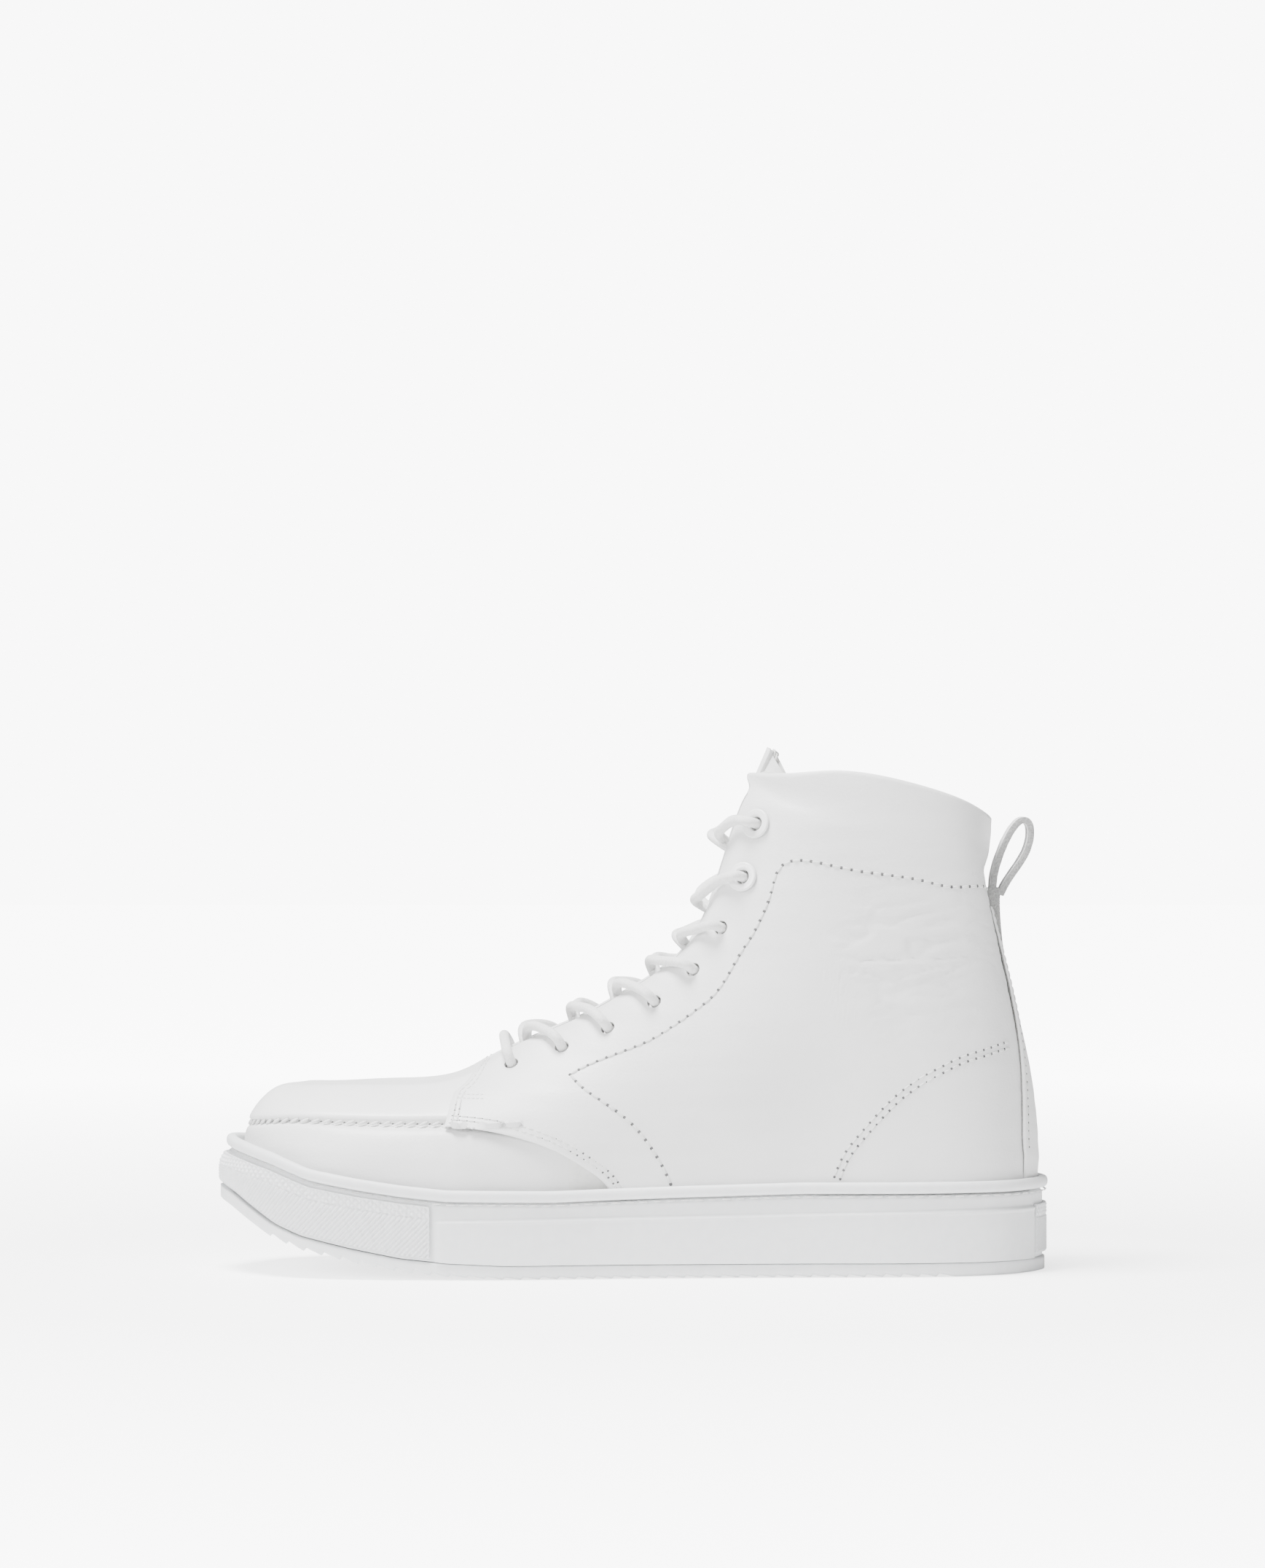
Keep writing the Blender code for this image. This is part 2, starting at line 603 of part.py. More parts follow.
def eyelet(name, middle, axis):
    """A turned eyelet: a flat flange outside and a barrel through the leather."""
    top = QUARTER_LEVEL + LEATHER + GAP
    foot = LINING_LEVEL
    outer = HOLE_RADIUS + EYELET_WALL
    lip = EYELET_LIP
    profile = [(HOLE_RADIUS, top + lip), (EYELET_RADIUS - 0.5 * MM, top + lip), (EYELET_RADIUS, top),
               (outer, top), (outer, foot), (HOLE_RADIUS, foot)]
    bm = bmesh.new()
    verts = [bm.verts.new((r, 0, z)) for r, z in profile]
    edges = [bm.edges.new((verts[i], verts[(i + 1) % len(verts)])) for i in range(len(verts))]
    bmesh.ops.spin(bm, geom=verts + edges, axis=(0, 0, 1), cent=(0, 0, 0), angle=2 * math.pi, steps=12,
                   use_merge=True)
    bmesh.ops.remove_doubles(bm, verts=bm.verts, dist=1e-7)
    bmesh.ops.recalc_face_normals(bm, faces=bm.faces)
    bmesh.ops.transform(bm, matrix=axis.to_track_quat("Z", "Y").to_matrix().to_4x4(), verts=bm.verts)
    bmesh.ops.translate(bm, vec=middle, verts=bm.verts)
    return finish_object(bm, name, "metal")


def make_holes(quarters):
    places = hole_places()
    for side_name, side in (("lateral", -1), ("medial", 1)):
        for row, place in enumerate(places):
            middle, axis = hole_frame(place, side)
            with_eyelet = row >= LACE_ROWS - EYELET_ROWS
            radius = HOLE_RADIUS + (EYELET_WALL + GAP if with_eyelet else 0)
            cutter = drill(f"hole_{side_name}_{row + 1}", middle, axis, radius, 9 * MM)
            wide = drill(f"lining_hole_{side_name}_{row + 1}", middle, axis, HOLE_RADIUS + 1.0 * MM, 9 * MM)
            leather, lining = quarters[side_name]
            cut(leather, cutter)
            cut(lining, wide)
            if with_eyelet:
                level = "upper" if row == LACE_ROWS - 1 else "lower"
                eyelet(f"eyelet_{side_name}_{level}", middle, axis)


TONGUE_START, TONGUE_END = 4.1, 10.0
TONGUE_HALF = [(-62, 10), (-50, 11), (-20, 16), (10, 20), (29, 20), (35, 14), (40, 13)]
TONGUE_RISE = np.array([7.0, 0.0, 16.2])
TONGUE_FLARE = 3.0 * MM


def tongue_point(u, v, level):
    """u runs up the tongue, v across it from -1 to 1. It lies under the laces, then stands up."""
    on_shoe = min(u / 0.9, 1.0)
    s = TONGUE_START + (TONGUE_END - TONGUE_START) * on_shoe
    t = np.linspace(0.4, 1, 300)
    places = on_last(np.full_like(t, s), t)
    half = curve(TONGUE_HALF, places[-1, 0] / SIZE[0] / MM) * SIZE[1] * MM * abs(v)
    reach = float(np.interp(-half, places[:, 1], t))
    lift = max(0.0, (on_shoe - 0.965) / 0.035)
    raise_by = level + TONGUE_LEVEL + lift * (LINING_LEVEL - LAYER_GAP - LEATHER - 2.0 * MM - TONGUE_LEVEL)
    side = -1 if v > 0 else 1
    normal = outward(side * s, reach)
    if v == 0:
        normal = normal * np.array([1, 0, 1])
    point = on_last(side * s, reach) + normal / np.linalg.norm(normal) * raise_by
    stand = max(0.0, (u - 0.9) / 0.1) * (1 - 0.75 * v * v)
    flare = np.array([0, -v * TONGUE_FLARE, 0]) * max(0.0, (u - 0.9) / 0.1)
    return point + TONGUE_RISE * SIZE * MM * stand + flare


def make_tongue():
    for name, kind, level, thickness in (
        ("tongue", "leather", 0.0, LEATHER),
        ("tongue_lining", "lining", -LAYER_GAP - LINING, LINING),
    ):
        bm, verts = grid(facets(16), 6)
        for vert, u, v in verts:
            vert.co = tongue_point(u, 2 * round(v * 6) / 6 - 1, level)
        solidify(finish_object(bm, name, kind), thickness)


LOOP_PATH = [(130.6, 137), (130.8, 143), (134, 152.5), (137.6, 159), (141.0, 161.6), (143.6, 158.8),
             (142.2, 150), (136.6, 141), (134.0, 137)]
LOOP_TAIL = [(129.7, 135.5), (131.6, 127), (134.4, 118.5)]


STRAP_SEAT = 3.6 * MM


def strap(name, path, width):
    bm, verts = grid(len(path) * 3 - 3, 2)
    spine = np.array(path, float)
    proud = BACKSTAY_LEVEL + LEATHER - STRAP_SEAT
    for vert, u, v in verts:
        x, z = weights([u * (len(path) - 1)], len(path), False)[0] @ spine
        vert.co = (x * SIZE[0] * MM + proud, (v - 0.5) * width, z * SIZE[2] * MM)
    return solidify(finish_object(bm, name, "leather"), STRAP / 2, 0.0)


LACE_ABOVE = QUARTER_LEVEL + LEATHER + GAP + EYELET_LIP + GAP + LACE_RADIUS
LACE_BELOW = LINING_LEVEL - LAYER_GAP - LACE_RADIUS - GAP
TUCK = [(10.25, 0.62), (10.7, 0.52), (11.0, 0.42), (11.2, 0.33)]


def spot(side, s, t, level):
    """A point on the last at a level, on one side: -1 lateral, 1 medial."""
    s = s if side < 0 else ROUND - s
    return Vector(raised(s, t, level))


def strand(start):
    """Half of the lace, from the bar over the lowest holes to its end inside the collar."""
    places = hole_places()
    points, side = [], start
    for row, (s, t) in enumerate(places):
        top = throat_edge(s)
        middle, axis = hole_frame(places[row], side)
        before = places[max(row - 1, 0)][0]
        edge = spot(side, s - LACE_LEAN * (s - before), top - 0.25 * (top - t), 0)
        inwards = edge - middle
        inwards = (inwards - axis * inwards.dot(axis)).normalized()
        points += [edge + axis * (LACE_ABOVE + 0.3 * MM)]
        points += [middle + inwards * across * MM + axis * level for across, level in (
            (2.8, LACE_ABOVE + 0.4 * MM), (0.4, LACE_ABOVE - 1.3 * MM), (0.0, 0.6 * MM),
            (0.0, LACE_BELOW + 2.6 * MM), (0.8, LACE_BELOW - 0.2 * MM))]
        if row + 1 == len(places):
            break
        after = places[row + 1][0]
        points.append(spot(side, s + 0.08, top - 0.4 * (top - t), LACE_BELOW - 0.5 * MM))
        points.append(spot(side, s + 0.2, top + 0.12 * (1 - top), LACE_BELOW - 0.2 * MM))
        over = 2.1 * MM if start < 0 else -2.1 * MM
        level = (LACE_ABOVE + LACE_BELOW) / 2
        crossing = s + 0.36 * (after - s)
        normal = outward(crossing, 1.0) * np.array([1, 0, 1])
        points.append(spot(side, crossing, 1.0, 0) + Vector(normal / np.linalg.norm(normal)) * (level + over))
        beyond = after - 0.45 * (after - s)
        reach = throat_edge(beyond)
        points.append(spot(-side, beyond, reach + 0.1 * (1 - reach), LACE_ABOVE + 0.3 * MM))
        side = -side
    points += [spot(side, *place, LACE_BELOW - GAP) for place in TUCK]
    return points


def make_lace():
    first, second = strand(-1), strand(1)
    bar = (first[0] + second[0]) / 2 + Vector((-0.35, 0, 0.94)) * 2.6 * MM
    points = np.array([tuple(p) for p in first[::-1] + [bar] + second])
    fine = weights(np.linspace(0, len(points) - 1, 12 * len(points)), len(points), False) @ points
    run = np.concatenate([[0], np.cumsum(np.linalg.norm(np.diff(fine, axis=0), axis=1))])
    count = round(run[-1] / LACE_STEP)
    at = np.linspace(0, run[-1], count)
    route = np.column_stack([np.interp(at, run, fine[:, k]) for k in range(3)])
    data = bpy.data.curves.new("lace", "CURVE")
    data.dimensions = "3D"
    data.bevel_depth = LACE_RADIUS
    data.bevel_resolution = 1
    data.use_fill_caps = True
    spline = data.splines.new("POLY")
    spline.points.add(len(route) - 1)
    for point, place in zip(spline.points, route):
        point.co = (*place, 1)
    lace = bpy.data.objects.new("lace", data)
    parts.objects.link(lace)
    data.materials.append(material("lace", "cotton"))
    for name, end, before in (("aglet_lateral", route[0], route[2]), ("aglet_medial", route[-1], route[-3])):
        axis = Vector(end - before).normalized()
        bm = bmesh.new()
        bmesh.ops.create_cone(bm, cap_ends=True, segments=10, radius1=LACE_RADIUS, radius2=LACE_RADIUS,
                              depth=AGLET_LENGTH)
        bmesh.ops.transform(bm, matrix=axis.to_track_quat("Z", "Y").to_matrix().to_4x4(), verts=bm.verts)
        bmesh.ops.translate(bm, vec=Vector(end) + axis * (AGLET_LENGTH / 2 + GAP), verts=bm.verts)
        finish_object(bm, name, "plastic")


def main():
    start_scene()
    make_sole()
    make_toe()
    quarters = make_quarters()
    make_heel()
    make_holes(quarters)
    make_tongue()
    make_lace()
    strap("pull_loop", LOOP_PATH, STRAP_WIDTH)
    strap("pull_loop_tail", LOOP_TAIL, STRAP_WIDTH)


main()
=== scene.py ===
# %% [markdown]
# # A basketball high top
# A left shoe in white leather: the toe points to -X and the lateral (outer) side faces -Y. The packed
# frame already holds every piece at its real size and place. This lesson builds the looks around it:
# leather panels with real thickness and rolled edges, sewn seams, a corded lace and a rubber cup sole.

# %% The frame
import math

import bmesh
import bpy
import numpy as np
from mathutils import Matrix, Vector, noise


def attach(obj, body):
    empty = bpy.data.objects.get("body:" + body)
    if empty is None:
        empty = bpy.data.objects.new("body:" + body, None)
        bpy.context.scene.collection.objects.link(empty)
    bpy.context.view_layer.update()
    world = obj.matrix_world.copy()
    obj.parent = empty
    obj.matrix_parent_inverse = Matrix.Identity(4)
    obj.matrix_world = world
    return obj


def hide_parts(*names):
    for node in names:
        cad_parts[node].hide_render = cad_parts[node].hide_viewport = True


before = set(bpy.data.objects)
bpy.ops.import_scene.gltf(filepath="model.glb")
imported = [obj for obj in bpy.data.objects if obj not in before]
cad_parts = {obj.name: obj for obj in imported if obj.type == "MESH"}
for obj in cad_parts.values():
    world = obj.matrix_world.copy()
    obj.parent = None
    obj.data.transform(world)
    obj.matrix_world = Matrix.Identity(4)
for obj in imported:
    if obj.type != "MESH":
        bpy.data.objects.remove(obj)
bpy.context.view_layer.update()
MM = 0.001

# %% [markdown]
# ## The last
# A shoemaker pulls leather over a last. Here the last is one smooth surface through a cage of ribs,
# and each leather piece is a patch of it at its own level. Points of it are found from s, which counts
# ribs round the shoe, and t, which goes up each rib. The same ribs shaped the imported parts.

# %% Ribs of the last, in millimetres
RIBS = [
    [(-141, 0, 38), (-140, 0, 50), (-134.5, 0, 60), (-128, 0, 65.2), (-119, 0, 67)],
    [(-136, -20, 37), (-134.5, -19.5, 49), (-130, -16.5, 59), (-123, -10, 65), (-114, 0, 67.1)],
    [(-122, -37, 34), (-120.5, -36.5, 46), (-117, -31, 57), (-111, -18, 65), (-104, 0, 67.1)],
    [(-98, -46, 28), (-97, -46.5, 41), (-94, -40.5, 54), (-90, -24, 64.5), (-86, 0, 67.9)],
    [(-70, -48.5, 24), (-69.5, -49, 38), (-68, -42.5, 54), (-66, -25, 66), (-64, 0, 70)],
    [(-42, -47.5, 22.5), (-42, -47.5, 38), (-42, -42, 56), (-43, -25, 73), (-45, 0, 80)],
    [(-12, -43, 22.5), (-13, -43.5, 40), (-15, -39, 63), (-17, -24, 83), (-20, 0, 92)],
    [(15, -40.3, 23), (13.5, -40, 43), (10, -37, 70), (5, -25, 95), (0, 0, 103.5)],
    [(42, -38.4, 24), (40, -38, 48), (34, -36.5, 80), (24, -25, 109), (16, 0, 115.5)],
    [(66, -37.2, 24.5), (62, -37, 55), (54, -35.5, 95), (39, -24, 134), (27, 0, 138)],
    [(88, -37, 25), (82, -37, 62), (71, -35, 110), (54, -26, 151), (36, 0, 173)],
    [(104, -35.6, 25.3), (99, -36, 66), (85, -34.5, 115), (67, -30, 155), (50, -19, 178.5)],
    [(117, -33, 25.6), (113, -34, 67), (100, -33.5, 115), (86, -31, 152), (73, -27, 179.5)],
    [(130, -27, 26), (127.5, -27.5, 67), (119, -28, 113), (108, -28.5, 148), (98, -28, 175.5)],
    [(140, -15, 26), (138, -15.5, 67), (131, -16.5, 108), (124, -18.5, 142), (119, -20, 168.5)],
    [(144.4, 0, 26), (142.4, 0, 62), (134.6, 0, 98), (125.5, 0, 134), (128.5, 0, 163)],
]
HEEL = len(RIBS) - 1
ROUND = 2 * HEEL


def second_derivatives(count, periodic):
    """The matrix that gives a cubic spline's second derivatives from its values at whole numbers."""
    left = np.zeros((count, count))
    right = np.zeros((count, count))
    for i in range(count):
        if not periodic and i in (0, count - 1):
            left[i, i] = 1
            continue
        for step, a, b in ((-1, 1, 6), (0, 4, -12), (1, 1, 6)):
            left[i, (i + step) % count] += a
            right[i, (i + step) % count] += b
    return np.linalg.solve(left, right)


def weights(values, count, periodic):
    """Each value's weights on the spline's own points."""
    values = np.asarray(values, float)
    start = np.floor(values).astype(int)
    if not periodic:
        start = np.clip(start, 0, count - 2)
    part = (values - start)[:, None]
    one = np.eye(count)
    bend = second_derivatives(count, periodic)
    a, b = start % count, (start + 1) % count
    rest = 1 - part
    return rest * one[a] + part * one[b] + (rest**3 - rest) / 6 * bend[a] + (part**3 - part) / 6 * bend[b]


def medial(point):
    """The medial side bulges at the ball and pulls in at the waist."""
    x, y, z = point
    fuller = 0.018 * math.exp(-(((x + 105) / 30) ** 2)) - 0.09 * math.exp(-(((x - 22) / 40) ** 2))
    return (x, -y * (1 + fuller), z)


def with_shoulder(rib):
    """Adds a level below the top one, so that the ridge over the toe and instep is blunt."""
    side, top = np.array(rib[-2], float), np.array(rib[-1], float)
    on_ridge = rib is not RIBS[HEEL] and rib[-1][1] == 0
    share = np.array([0.36, 0.62, 0.36] if on_ridge else [0.5, 0.5, 0.5])
    return rib[:-1] + [tuple(top + (side - top) * share), rib[-1]]


LATERAL = [with_shoulder(rib) for rib in RIBS]
CAGE = np.array(LATERAL + [[medial(p) for p in LATERAL[i]] for i in range(HEEL - 1, 0, -1)]) * MM
LEVELS = len(LATERAL[0])


def on_last(s, t):
    """Points of the last for arrays of s and t."""
    s, t = np.broadcast_arrays(np.asarray(s, float), np.asarray(t, float))
    around = weights(s.ravel(), ROUND, True)
    up = weights(t.ravel() * (LEVELS - 1), LEVELS, False)
    across = np.einsum("nj,ijk->nik", up, CAGE)
    return np.einsum("ni,nik->nk", around, across).reshape(s.shape + (3,))


def outward(s, t):
    step = 0.01
    along = on_last(np.add(s, step), t) - on_last(np.subtract(s, step), t)
    up = on_last(s, np.minimum(np.add(t, step), 1)) - on_last(s, np.maximum(np.subtract(t, step), 0))
    normal = np.cross(along, up)
    return normal / np.maximum(np.linalg.norm(normal, axis=-1, keepdims=True), 1e-12)


def raised(s, t, level):
    """Points of the last, lifted by a level or by an array of levels."""
    return on_last(s, t) + outward(s, t) * np.asarray(level)[..., None]


print("the last has", len(CAGE), "ribs of", LEVELS, "levels")

# %% [markdown]
# ## Finding places on the last
# Panel edges and seams are drawn as seen from the side, in millimetres. Each such point is carried onto
# the last by a short search, so a line keeps its place on the leather as well as in the side view.

# %% Side-view points carried onto the last
LATTICE_S, LATTICE_T = np.meshgrid(np.linspace(0, HEEL, 241), np.linspace(0, 1, 61), indexing="ij")
LATTICE = on_last(LATTICE_S, LATTICE_T)


def locate(points):
    """The (s, t) of side-view points in millimetres, on the lateral side."""
    found = []
    for x, z in points:
        goal = np.array([x, z]) * MM
        distance = np.linalg.norm(LATTICE[..., [0, 2]] - goal, axis=-1)
        i = np.unravel_index(distance.argmin(), distance.shape)
        s, t = LATTICE_S[i], LATTICE_T[i]
        for _ in range(6):
            here = on_last(s, t)[[0, 2]]
            by_s = (on_last(s + 0.01, t)[[0, 2]] - here) / 0.01
            by_t = (on_last(s, t + 0.001)[[0, 2]] - here) / 0.001
            step = np.linalg.lstsq(np.column_stack([by_s, by_t]), goal - here, rcond=1e-3)[0]
            s = float(np.clip(s + np.clip(step[0], -0.2, 0.2), 0, HEEL))
            t = float(np.clip(t + np.clip(step[1], -0.05, 0.05), 0, 1))
        found.append((s, t))
    return found


def run_along(points):
    """The distance from the first point to each point of a line."""
    return np.concatenate([[0], np.cumsum(np.linalg.norm(np.diff(points, axis=0), axis=1))])


def resample(points, count):
    """(s, t) points evenly spaced on the last, along a smooth line, or a straight one between two points."""
    points = np.array(points, float)
    fine = np.linspace(0, len(points) - 1, 24 * len(points))
    if len(points) > 2:
        points = weights(fine, len(points), False) @ points
    else:
        places = np.arange(len(points))
        points = np.column_stack([np.interp(fine, places, points[:, k]) for k in (0, 1)])
    points[:, 1] = np.clip(points[:, 1], 0, 1)
    places = on_last(points[:, 0], points[:, 1])
    run = run_along(places)
    at = np.linspace(0, run[-1], count)
    return np.column_stack([np.interp(at, run, points[:, k]) for k in (0, 1)])


def patch(left, right, bottom, top, across, up):
    """A Coons patch in (s, t) between four edges, as an (across + 1, up + 1, 2) array."""
    left, right = resample(left, up + 1), resample(right, up + 1)
    bottom, top = resample(bottom, across + 1), resample(top, across + 1)
    u = np.linspace(0, 1, across + 1)[:, None, None]
    v = np.linspace(0, 1, up + 1)[None, :, None]
    sides = (1 - u) * left[None] + u * right[None] + (1 - v) * bottom[:, None] + v * top[:, None]
    corners = ((1 - u) * (1 - v) * bottom[0] + u * (1 - v) * bottom[-1]
               + (1 - u) * v * top[0] + u * v * top[-1])
    return sides - corners


THROAT_HALF = [(-58, 10), (-45, 10.5), (0, 13), (20, 13), (30, 12), (40, 12)]


def table(rows, x):
    """A value read from a table of (x, value) rows, in millimetres."""
    xs, values = np.array(rows, float).T
    return np.interp(x, xs, values)


def throat_edge(s, spare=0.0):
    """The t at which rib s meets the throat's edge."""
    t = np.linspace(0.5, 1, 400)
    places = on_last(np.full_like(t, s), t)
    half = table(THROAT_HALF, places[:, 0] / MM) * MM + spare
    inside = np.abs(places[:, 1]) < half
    return float(t[inside.argmax()])


THROAT_FOOT = locate([(-54, 72)])[0][0]
THROAT_HEAD = 10.55


def throat(spare=0.0, start=THROAT_FOOT, count=9):
    """The throat edge from its foot up to the rim."""
    along = np.linspace(start, THROAT_HEAD - 0.25, count)
    edge = [(s, throat_edge(s, spare)) for s in along]
    return edge + [(THROAT_HEAD + spare * 30, 1.0)]


print("the throat starts at rib", round(THROAT_FOOT, 2))

# %% [markdown]
# ## Finishes
# White leather is never one white: it has a fine pebble grain, faint creases and small changes of gloss.
# The grain is a node group, so that each material places the same effect with its own size. The group
# gives out only a mask and a normal.

# %% Node helpers


def group(name, inputs, outputs):
    made = bpy.data.node_groups.new(name, "ShaderNodeTree")
    for label, kind, value in inputs:
        socket = made.interface.new_socket(label, in_out="INPUT", socket_type=kind)
        if value is not None:
            socket.default_value = value
    for label, kind in outputs:
        made.interface.new_socket(label, in_out="OUTPUT", socket_type=kind)
    return made, made.nodes.new("NodeGroupInput"), made.nodes.new("NodeGroupOutput")


def add(tree, kind, **settings):
    node = tree.nodes.new(kind)
    for key, value in settings.items():
        if key in node.inputs:
            node.inputs[key].default_value = value
        else:
            setattr(node, key, value)
    return node


def grain_group():
    """Pebble grain: small cells, larger folds and pores, as one normal and one mask."""
    made, enter, leave = group(
        "leather_grain",
        [("Cell", "NodeSocketFloat", 900.0), ("Depth", "NodeSocketFloat", 0.2)],
        [("Normal", "NodeSocketVector"), ("Mask", "NodeSocketFloat")],
    )
    place = add(made, "ShaderNodeTexCoord")
    cells = add(made, "ShaderNodeTexVoronoi", feature="SMOOTH_F1")
    made.links.new(place.outputs["Object"], cells.inputs["Vector"])
    made.links.new(enter.outputs["Cell"], cells.inputs["Scale"])
    folds = add(made, "ShaderNodeTexNoise", Scale=160.0, Detail=4.0, Roughness=0.6)
    stretch = add(made, "ShaderNodeMapping")
    stretch.inputs["Scale"].default_value = (0.35, 0.35, 1.6)
    made.links.new(place.outputs["Object"], stretch.inputs["Vector"])
    made.links.new(stretch.outputs["Vector"], folds.inputs["Vector"])
    mix = add(made, "ShaderNodeMath", operation="MULTIPLY_ADD")
    mix.inputs[1].default_value = 0.55
    made.links.new(cells.outputs["Distance"], mix.inputs[0])
    made.links.new(folds.outputs["Fac"], mix.inputs[2])
    bump = add(made, "ShaderNodeBump", Distance=0.0003)
    made.links.new(enter.outputs["Depth"], bump.inputs["Strength"])
    made.links.new(mix.outputs[0], bump.inputs["Height"])
    made.links.new(bump.outputs["Normal"], leave.inputs["Normal"])
    made.links.new(folds.outputs["Fac"], leave.inputs["Mask"])
    return made


GRAIN = grain_group()


def tint(tree, mask, low, high):
    """A colour that moves between two tones with a mask."""
    ramp = add(tree, "ShaderNodeValToRGB")
    ramp.color_ramp.elements[0].position, ramp.color_ramp.elements[1].position = 0.3, 0.7
    ramp.color_ramp.elements[0].color, ramp.color_ramp.elements[1].color = (*low, 1), (*high, 1)
    tree.links.new(mask, ramp.inputs["Fac"])
    return ramp.outputs["Color"]


def principled(name, roughness, **settings):
    made = bpy.data.materials.new(name)
    made.use_nodes = True
    shader = made.node_tree.nodes["Principled BSDF"]
    shader.inputs["Roughness"].default_value = roughness
    for key, value in settings.items():
        shader.inputs[key.replace("_", " ")].default_value = value
    return made, made.node_tree, shader


def leather(name, low, high, roughness, cell, depth):
    made, tree, shader = principled(name, roughness, Specular_IOR_Level=0.42, Coat_Weight=0.06,
                                    Coat_Roughness=0.3, Sheen_Weight=0.05)
    grain = add(tree, "ShaderNodeGroup")
    grain.node_tree = GRAIN
    grain.inputs["Cell"].default_value = cell
    grain.inputs["Depth"].default_value = depth
    place = add(tree, "ShaderNodeTexCoord")
    cloud = add(tree, "ShaderNodeTexNoise", Scale=22.0, Detail=3.0)
    tree.links.new(place.outputs["Object"], cloud.inputs["Vector"])
    tree.links.new(tint(tree, cloud.outputs["Fac"], low, high), shader.inputs["Base Color"])
    gloss = add(tree, "ShaderNodeMapRange")
    gloss.inputs["To Min"].default_value = roughness - 0.07
    gloss.inputs["To Max"].default_value = roughness + 0.09
    tree.links.new(grain.outputs["Mask"], gloss.inputs["Value"])
    tree.links.new(gloss.outputs["Result"], shader.inputs["Roughness"])
    tree.links.new(grain.outputs["Normal"], shader.inputs["Normal"])
    return made


def rough(name, low, high, roughness, scale, depth, **settings):
    """A matte finish with fine noise in its colour and surface: rubber, lining, cut edges, thread."""
    made, tree, shader = principled(name, roughness, **settings)
    place = add(tree, "ShaderNodeTexCoord")
    grit = add(tree, "ShaderNodeTexNoise", Scale=scale, Detail=5.0, Roughness=0.65)
    tree.links.new(place.outputs["Object"], grit.inputs["Vector"])
    tree.links.new(tint(tree, grit.outputs["Fac"], low, high), shader.inputs["Base Color"])
    bump = add(tree, "ShaderNodeBump", Strength=depth, Distance=0.0004)
    tree.links.new(grit.outputs["Fac"], bump.inputs["Height"])
    tree.links.new(bump.outputs["Normal"], shader.inputs["Normal"])
    return made


LEATHER_SKIN = leather("white_leather", (0.76, 0.76, 0.76), (0.82, 0.82, 0.815), 0.42, 950.0, 0.42)
APRON_SKIN = leather("apron_leather", (0.83, 0.83, 0.825), (0.88, 0.88, 0.875), 0.38, 1000.0, 0.25)
CUT_EDGE = rough("cut_leather_edge", (0.22, 0.22, 0.22), (0.44, 0.44, 0.43), 0.9, 1500.0, 0.9)
PALE_EDGE = rough("painted_leather_edge", (0.60, 0.60, 0.59), (0.78, 0.78, 0.77), 0.7, 900.0, 0.4)
THREAD = rough("white_thread", (0.62, 0.62, 0.61), (0.80, 0.80, 0.79), 0.6, 2500.0, 0.5)
# Painted shade: this near-black colour stands in for the shadow inside each needle hole.
NEEDLE_HOLE_SHADE = rough("needle_hole_painted_shade", (0.06, 0.06, 0.06), (0.16, 0.16, 0.16), 0.9, 900.0, 0.3)
LINING_SKIN = rough("lining_leather", (0.70, 0.70, 0.68), (0.80, 0.80, 0.78), 0.75, 420.0, 0.35)
RUBBER = rough("white_rubber", (0.75, 0.76, 0.77), (0.80, 0.81, 0.815), 0.5, 260.0, 0.06,
               Specular_IOR_Level=0.4)
ENAMEL = rough("white_enamel", (0.84, 0.84, 0.84), (0.88, 0.88, 0.88), 0.25, 300.0, 0.03, Coat_Weight=0.4)
AGLET = rough("clear_plastic", (0.72, 0.73, 0.74), (0.82, 0.83, 0.84), 0.25, 300.0, 0.03)
BOARD = rough("fibre_board", (0.45, 0.41, 0.34), (0.62, 0.57, 0.48), 0.9, 380.0, 0.5)
FOAM = rough("sole_foam", (0.70, 0.69, 0.66), (0.80, 0.79, 0.76), 0.9, 800.0, 0.6)
print("finishes:", len(bpy.data.materials))

# %% [markdown]
# ## Panels
# A panel starts as a flat grid. Each vertex is moved to its place on the last, and Solidify gives the
# leather its thickness inwards. The rim of the sheet takes its own material, because a cut edge is raw.
# The outer face drops a little near its edges, as skived leather does, which makes the edge catch light.

# %% Panel helpers
DETAIL = 1.0


def linked(name, data):
    """An object in the scene for a mesh, a lamp or a camera."""
    made = bpy.data.objects.new(name, data)
    bpy.context.scene.collection.objects.link(made)
    return made


def linked_mesh(bm, name, skins):
    """Turns a bmesh into a smooth object with its materials."""
    mesh = bpy.data.meshes.new(name)
    bm.to_mesh(mesh)
    bm.free()
    mesh.shade_smooth()
    for skin in skins:
        mesh.materials.append(skin)
    return linked(name, mesh)


def finished(bm, name, skins, body, nodes=()):
    """A piece of the shoe, with its body and the nodes that it stands for."""
    made = linked_mesh(bm, name, skins)
    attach(made, body)
    if nodes:
        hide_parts(*nodes)
    return made


def grid(across, up):
    """A flat grid with each vertex's place in it, from 0 to 1 both ways."""
    bm = bmesh.new()
    bmesh.ops.create_grid(bm, x_segments=across, y_segments=up, size=0.5)
    return bm, [(v, v.co.x + 0.5, v.co.y + 0.5) for v in bm.verts]


def bake(made):
    """Applies an object's modifiers, so that its mesh is final."""
    graph = bpy.context.evaluated_depsgraph_get()
    mesh = bpy.data.meshes.new_from_object(made.evaluated_get(graph))
    old = made.data
    made.modifiers.clear()
    made.data = mesh
    bpy.data.meshes.remove(old)
    mesh.name = made.name
    return made


